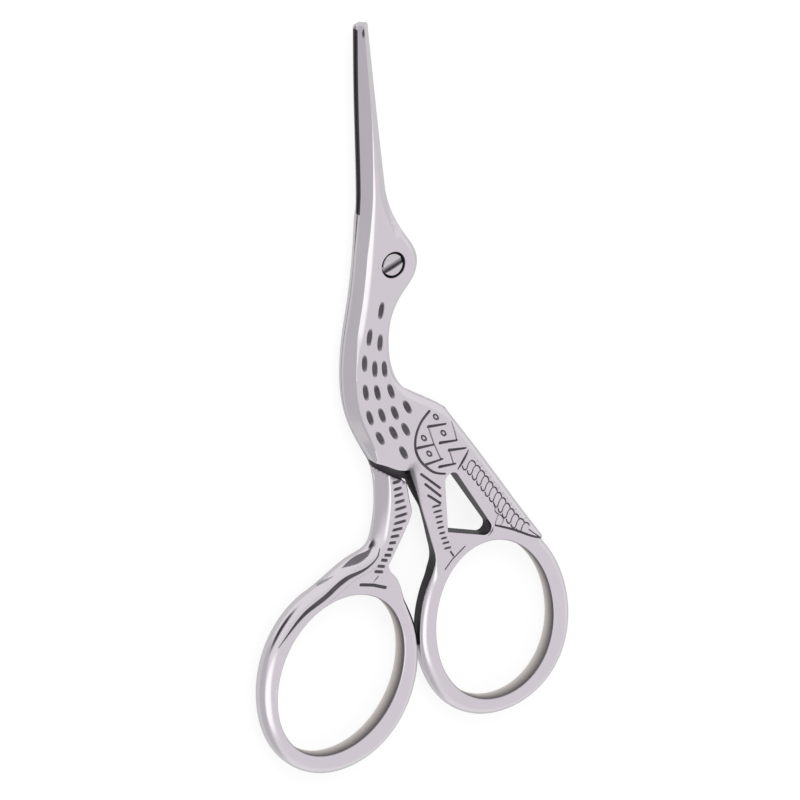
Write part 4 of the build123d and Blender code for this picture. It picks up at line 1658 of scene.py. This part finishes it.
def dressed(solid, shade, finishes):
    """Finished object of a solid, with the painted shade of each vertex of its upper side."""
    mesh, count = solid.build([bpy.data.materials[name] for name in finishes])
    values = np.zeros(len(solid.points))
    values[:count] = shade(solid.points[:count, :2])
    # The attribute holds painted shade: how dark each vertex of the upper side is made
    mesh.attributes.new("painted_shade", "FLOAT", "POINT").data.foreach_set("value", values)
    return finished(solid.name, mesh)


def looks(context):
    """The settings of the panel."""
    return context.scene.scissors_looks


class ScissorsLooks(PropertyGroup):
    """Feather dents, finish and painted shade of the scissors."""

    feather_long: FloatProperty(
        name="Feather length", description="Length of a feather's dent", default=0.0023, min=0.001, max=0.003,
        subtype="DISTANCE", unit="LENGTH", precision=5,
    )
    feather_wide: FloatProperty(
        name="Feather width", description="Width of a feather's dent", default=0.00082, min=0.0004, max=0.001,
        subtype="DISTANCE", unit="LENGTH", precision=5,
    )
    feather_deep: FloatProperty(
        name="Feather depth", description="Depth of a feather's dent", default=0.00014, min=0.00005,
        max=0.0003, subtype="DISTANCE", unit="LENGTH", precision=5,
    )
    polish: FloatVectorProperty(
        name="Polished steel", description="Colour of the polished faces", subtype="COLOR",
        default=(0.86, 0.83, 0.86), min=0, max=1,
    )
    polish_rough: FloatProperty(
        name="Polish roughness", description="How dull the polished faces are", default=0.14, min=0, max=1,
        subtype="FACTOR",
    )
    # The walls' near-black colour is painted shade
    wall: FloatVectorProperty(
        name="Wall steel with painted shade", description="Colour of the walls that the polish doesn't reach",
        subtype="COLOR", default=(0.07, 0.065, 0.07), min=0, max=1,
    )
    # Colour of the painted shade in the cut marks, along the hole brinks, in gaps and in the screw's slot
    painted_shade_colour: FloatVectorProperty(
        name="Painted shade", description="Colour in the engraved marks", subtype="COLOR",
        default=(0.035, 0.03, 0.04), min=0, max=1,
    )


class SCISSORS_OT_front_half(Operator):
    """Dress the front half in polished steel, with its cut marks and painted shade"""

    bl_idname = "scissors.front_half"
    bl_label = "Front half"

    def execute(self, context):
        chosen = looks(context)
        sizes = (chosen.feather_long, chosen.feather_wide, chosen.feather_deep)
        piece = dressed(*build_front([round(size / MM, 4) for size in sizes]), HALF_FINISHES)
        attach(piece, "front")
        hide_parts("front_half")
        return {"FINISHED"}


class SCISSORS_OT_back_half(Operator):
    """Dress the back half in polished steel, with its cut marks and painted shade"""

    bl_idname = "scissors.back_half"
    bl_label = "Back half"

    def execute(self, context):
        piece = dressed(*build_back(), HALF_FINISHES)
        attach(piece, "back")
        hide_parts("back_half")
        return {"FINISHED"}


class SCISSORS_OT_pivot_screw(Operator):
    """Dress the slotted pivot screw"""

    bl_idname = "scissors.pivot_screw"
    bl_label = "Pivot screw"

    def execute(self, context):
        piece = dressed(*build_screw(), ["Screw steel"])
        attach(piece, "back")
        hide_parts("pivot_screw")
        return {"FINISHED"}


class SCISSORS_OT_finishes(Operator):
    """Make the steel finishes, three of them carrying painted shade or a painted reflection"""

    bl_idname = "scissors.finishes"
    bl_label = "Finishes"

    def execute(self, context):
        chosen = looks(context)
        steel("Polished steel", chosen.polish, chosen.polish_rough, chosen.painted_shade_colour)
        # Near-black steel for the walls: painted shade
        steel("Wall steel with painted shade", chosen.wall, 0.42, chosen.painted_shade_colour, scratch=3.0)
        # Warmer, brighter steel for the hole walls: a painted reflection
        steel("Hole steel with painted reflection", (0.96, 0.89, 0.85), 0.35, chosen.painted_shade_colour, scratch=2.0)
        # Steel in the colour of the painted shade
        steel("Painted shade steel", chosen.painted_shade_colour, 0.5, chosen.painted_shade_colour)
        steel("Screw steel", (0.78, 0.76, 0.78), 0.2, chosen.painted_shade_colour, scratch=2.0)
        return {"FINISHED"}


class SCISSORS_OT_stage(Operator):
    """Set up the floor, the light and the camera"""

    bl_idname = "scissors.stage"
    bl_label = "Stage"

    def execute(self, context):
        scene = context.scene
        turn = Quaternion(VIEW_TURN.normalized(), VIEW_TURN.length).to_matrix()
        eye = bpy.data.cameras.new("Camera")
        camera = bpy.data.objects.new("Camera", eye)
        scene.collection.objects.link(camera)
        place = turn.transposed() @ VIEW_AWAY + VIEW_ORIGIN
        camera.matrix_world = Matrix.Translation(place * MM) @ turn.transposed().to_4x4()
        eye.lens, eye.sensor_width = LENS_SHARE * SENSOR, SENSOR
        eye.clip_start, eye.clip_end = 0.05, 20
        scene.camera = camera
        floor_mesh = bpy.data.meshes.new("Floor")
        corners = [(x * FLOOR_HALF, y * FLOOR_HALF, FLOOR_Z) for x, y in ((-1, -1), (1, -1), (1, 1), (-1, 1))]
        floor_mesh.from_pydata(corners, [], [(0, 1, 2, 3)])
        floor = bpy.data.objects.new("Floor", floor_mesh)
        scene.collection.objects.link(floor)
        floor_mesh.materials.append(floor_paint())
        lamp = bpy.data.lights.new("Key", "AREA")
        lamp.energy, lamp.size = KEY_POWER, KEY_SIZE
        key = bpy.data.objects.new("Key", lamp)
        scene.collection.objects.link(key)
        facing = KEY_PLACE.to_track_quat("Z", "Y").to_matrix().to_4x4()
        key.matrix_world = Matrix.Translation(KEY_PLACE) @ facing
        key.visible_glossy = False
        studio_world(scene)
        scene.view_settings.view_transform = "Standard"
        return {"FINISHED"}


def floor_paint():
    """Floor that is white to the camera, keeps a shadow and is mirrored greyer."""
    material = bpy.data.materials.new("Pale floor")
    desk = fresh(material)
    path = desk.node("ShaderNodeLightPath")
    shown = path.out("Is Camera Ray").most(path.out("Is Transmission Ray")) * FLOOR_SEEN
    mirrored = path.out("Is Glossy Ray") * FLOOR_MIRRORED
    matt = desk.node("ShaderNodeBsdfDiffuse", {}, (0.3, 0.3, 0.3, 1.0)).out("BSDF")
    glow = desk.node("ShaderNodeEmission", {}, (1.0, 1.0, 1.0, 1.0), shown + mirrored).out("Emission")
    both = desk.node("ShaderNodeAddShader", {}, matt, glow).out("Shader")
    desk.node("ShaderNodeOutputMaterial", {}, both)
    return material


# Tones that the polished steel mirrors: direction, half angle from full to none in degrees, tone
MIRRORED = [
    ((0.476, -0.410, 0.778), (28, 46), (0.74, 0.70, 0.74)),
    ((-0.907, -0.41, 0.20), (42, 58), (0.53, 0.51, 0.54)),
    ((-0.12, -0.42, 0.90), (10, 17), (1.2, 1.2, 1.2)),
    ((-0.476, 0.410, 0.778), (10, 22), (0.05, 0.04, 0.06)),
]
SKY_TONE = (0.82, 0.80, 0.82)


def studio_world(scene):
    """White behind the scissors, with the greys of a studio for the steel to mirror."""
    world = bpy.data.worlds.new("Studio")
    scene.world = world
    desk = fresh(world)
    towards = desk.node("ShaderNodeTexCoord").out("Generated")
    tone = (*SKY_TONE, 1.0)
    for direction, (full, none), colour in MIRRORED:
        facing = desk.node(
            "ShaderNodeVectorMath", {"operation": "DOT_PRODUCT"}, towards, Vector(direction).normalized()
        ).out("Value")
        share = desk.node(
            "ShaderNodeMapRange", {"interpolation_type": "SMOOTHSTEP"}, facing, cos(radians(none)),
            cos(radians(full)), 0.0, 1.0,
        ).out("Result")
        tone = desk.mix(share, tone, (*colour, 1.0))
    path = desk.node("ShaderNodeLightPath")
    seen_glossy = path.out("Is Glossy Ray")
    mirrored = desk.node("ShaderNodeBackground", {}, tone, 1.0).out("Background")
    plain = desk.node(
        "ShaderNodeBackground", {}, (1.0, 1.0, 1.0, 1.0),
        path.out("Is Camera Ray").most(path.out("Is Transmission Ray")) * 0.35 + 0.65,
    ).out("Background")
    both = desk.node("ShaderNodeMixShader", {}, seen_glossy, plain, mirrored).out("Shader")
    desk.node("ShaderNodeOutputWorld", {}, both)


class SCISSORS_PT_panel(Panel):
    """Lists the finish and the makers of the pieces"""

    bl_idname = "SCISSORS_PT_panel"
    bl_label = "Scissors"
    bl_space_type = "VIEW_3D"
    bl_region_type = "UI"
    bl_category = "Scissors"

    def draw(self, context):
        for name in ScissorsLooks.__annotations__:
            self.layout.prop(looks(context), name)
        for maker in MAKERS:
            self.layout.operator(maker.bl_idname)


MAKERS = (
    SCISSORS_OT_finishes, SCISSORS_OT_front_half, SCISSORS_OT_back_half, SCISSORS_OT_pivot_screw,
    SCISSORS_OT_stage,
)
CLASSES = (ScissorsLooks, *MAKERS, SCISSORS_PT_panel)


def register():
    for made in CLASSES:
        bpy.utils.register_class(made)
    bpy.types.Scene.scissors_looks = PointerProperty(type=ScissorsLooks)


def unregister():
    del bpy.types.Scene.scissors_looks
    for made in reversed(CLASSES):
        bpy.utils.unregister_class(made)


def main():
    """Makes the finishes, the pieces and the stage."""
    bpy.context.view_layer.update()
    register()
    bpy.ops.scissors.finishes()
    bpy.ops.scissors.front_half()
    bpy.ops.scissors.back_half()
    bpy.ops.scissors.pivot_screw()
    bpy.ops.scissors.stage()


if __name__ == "__main__":
    main()
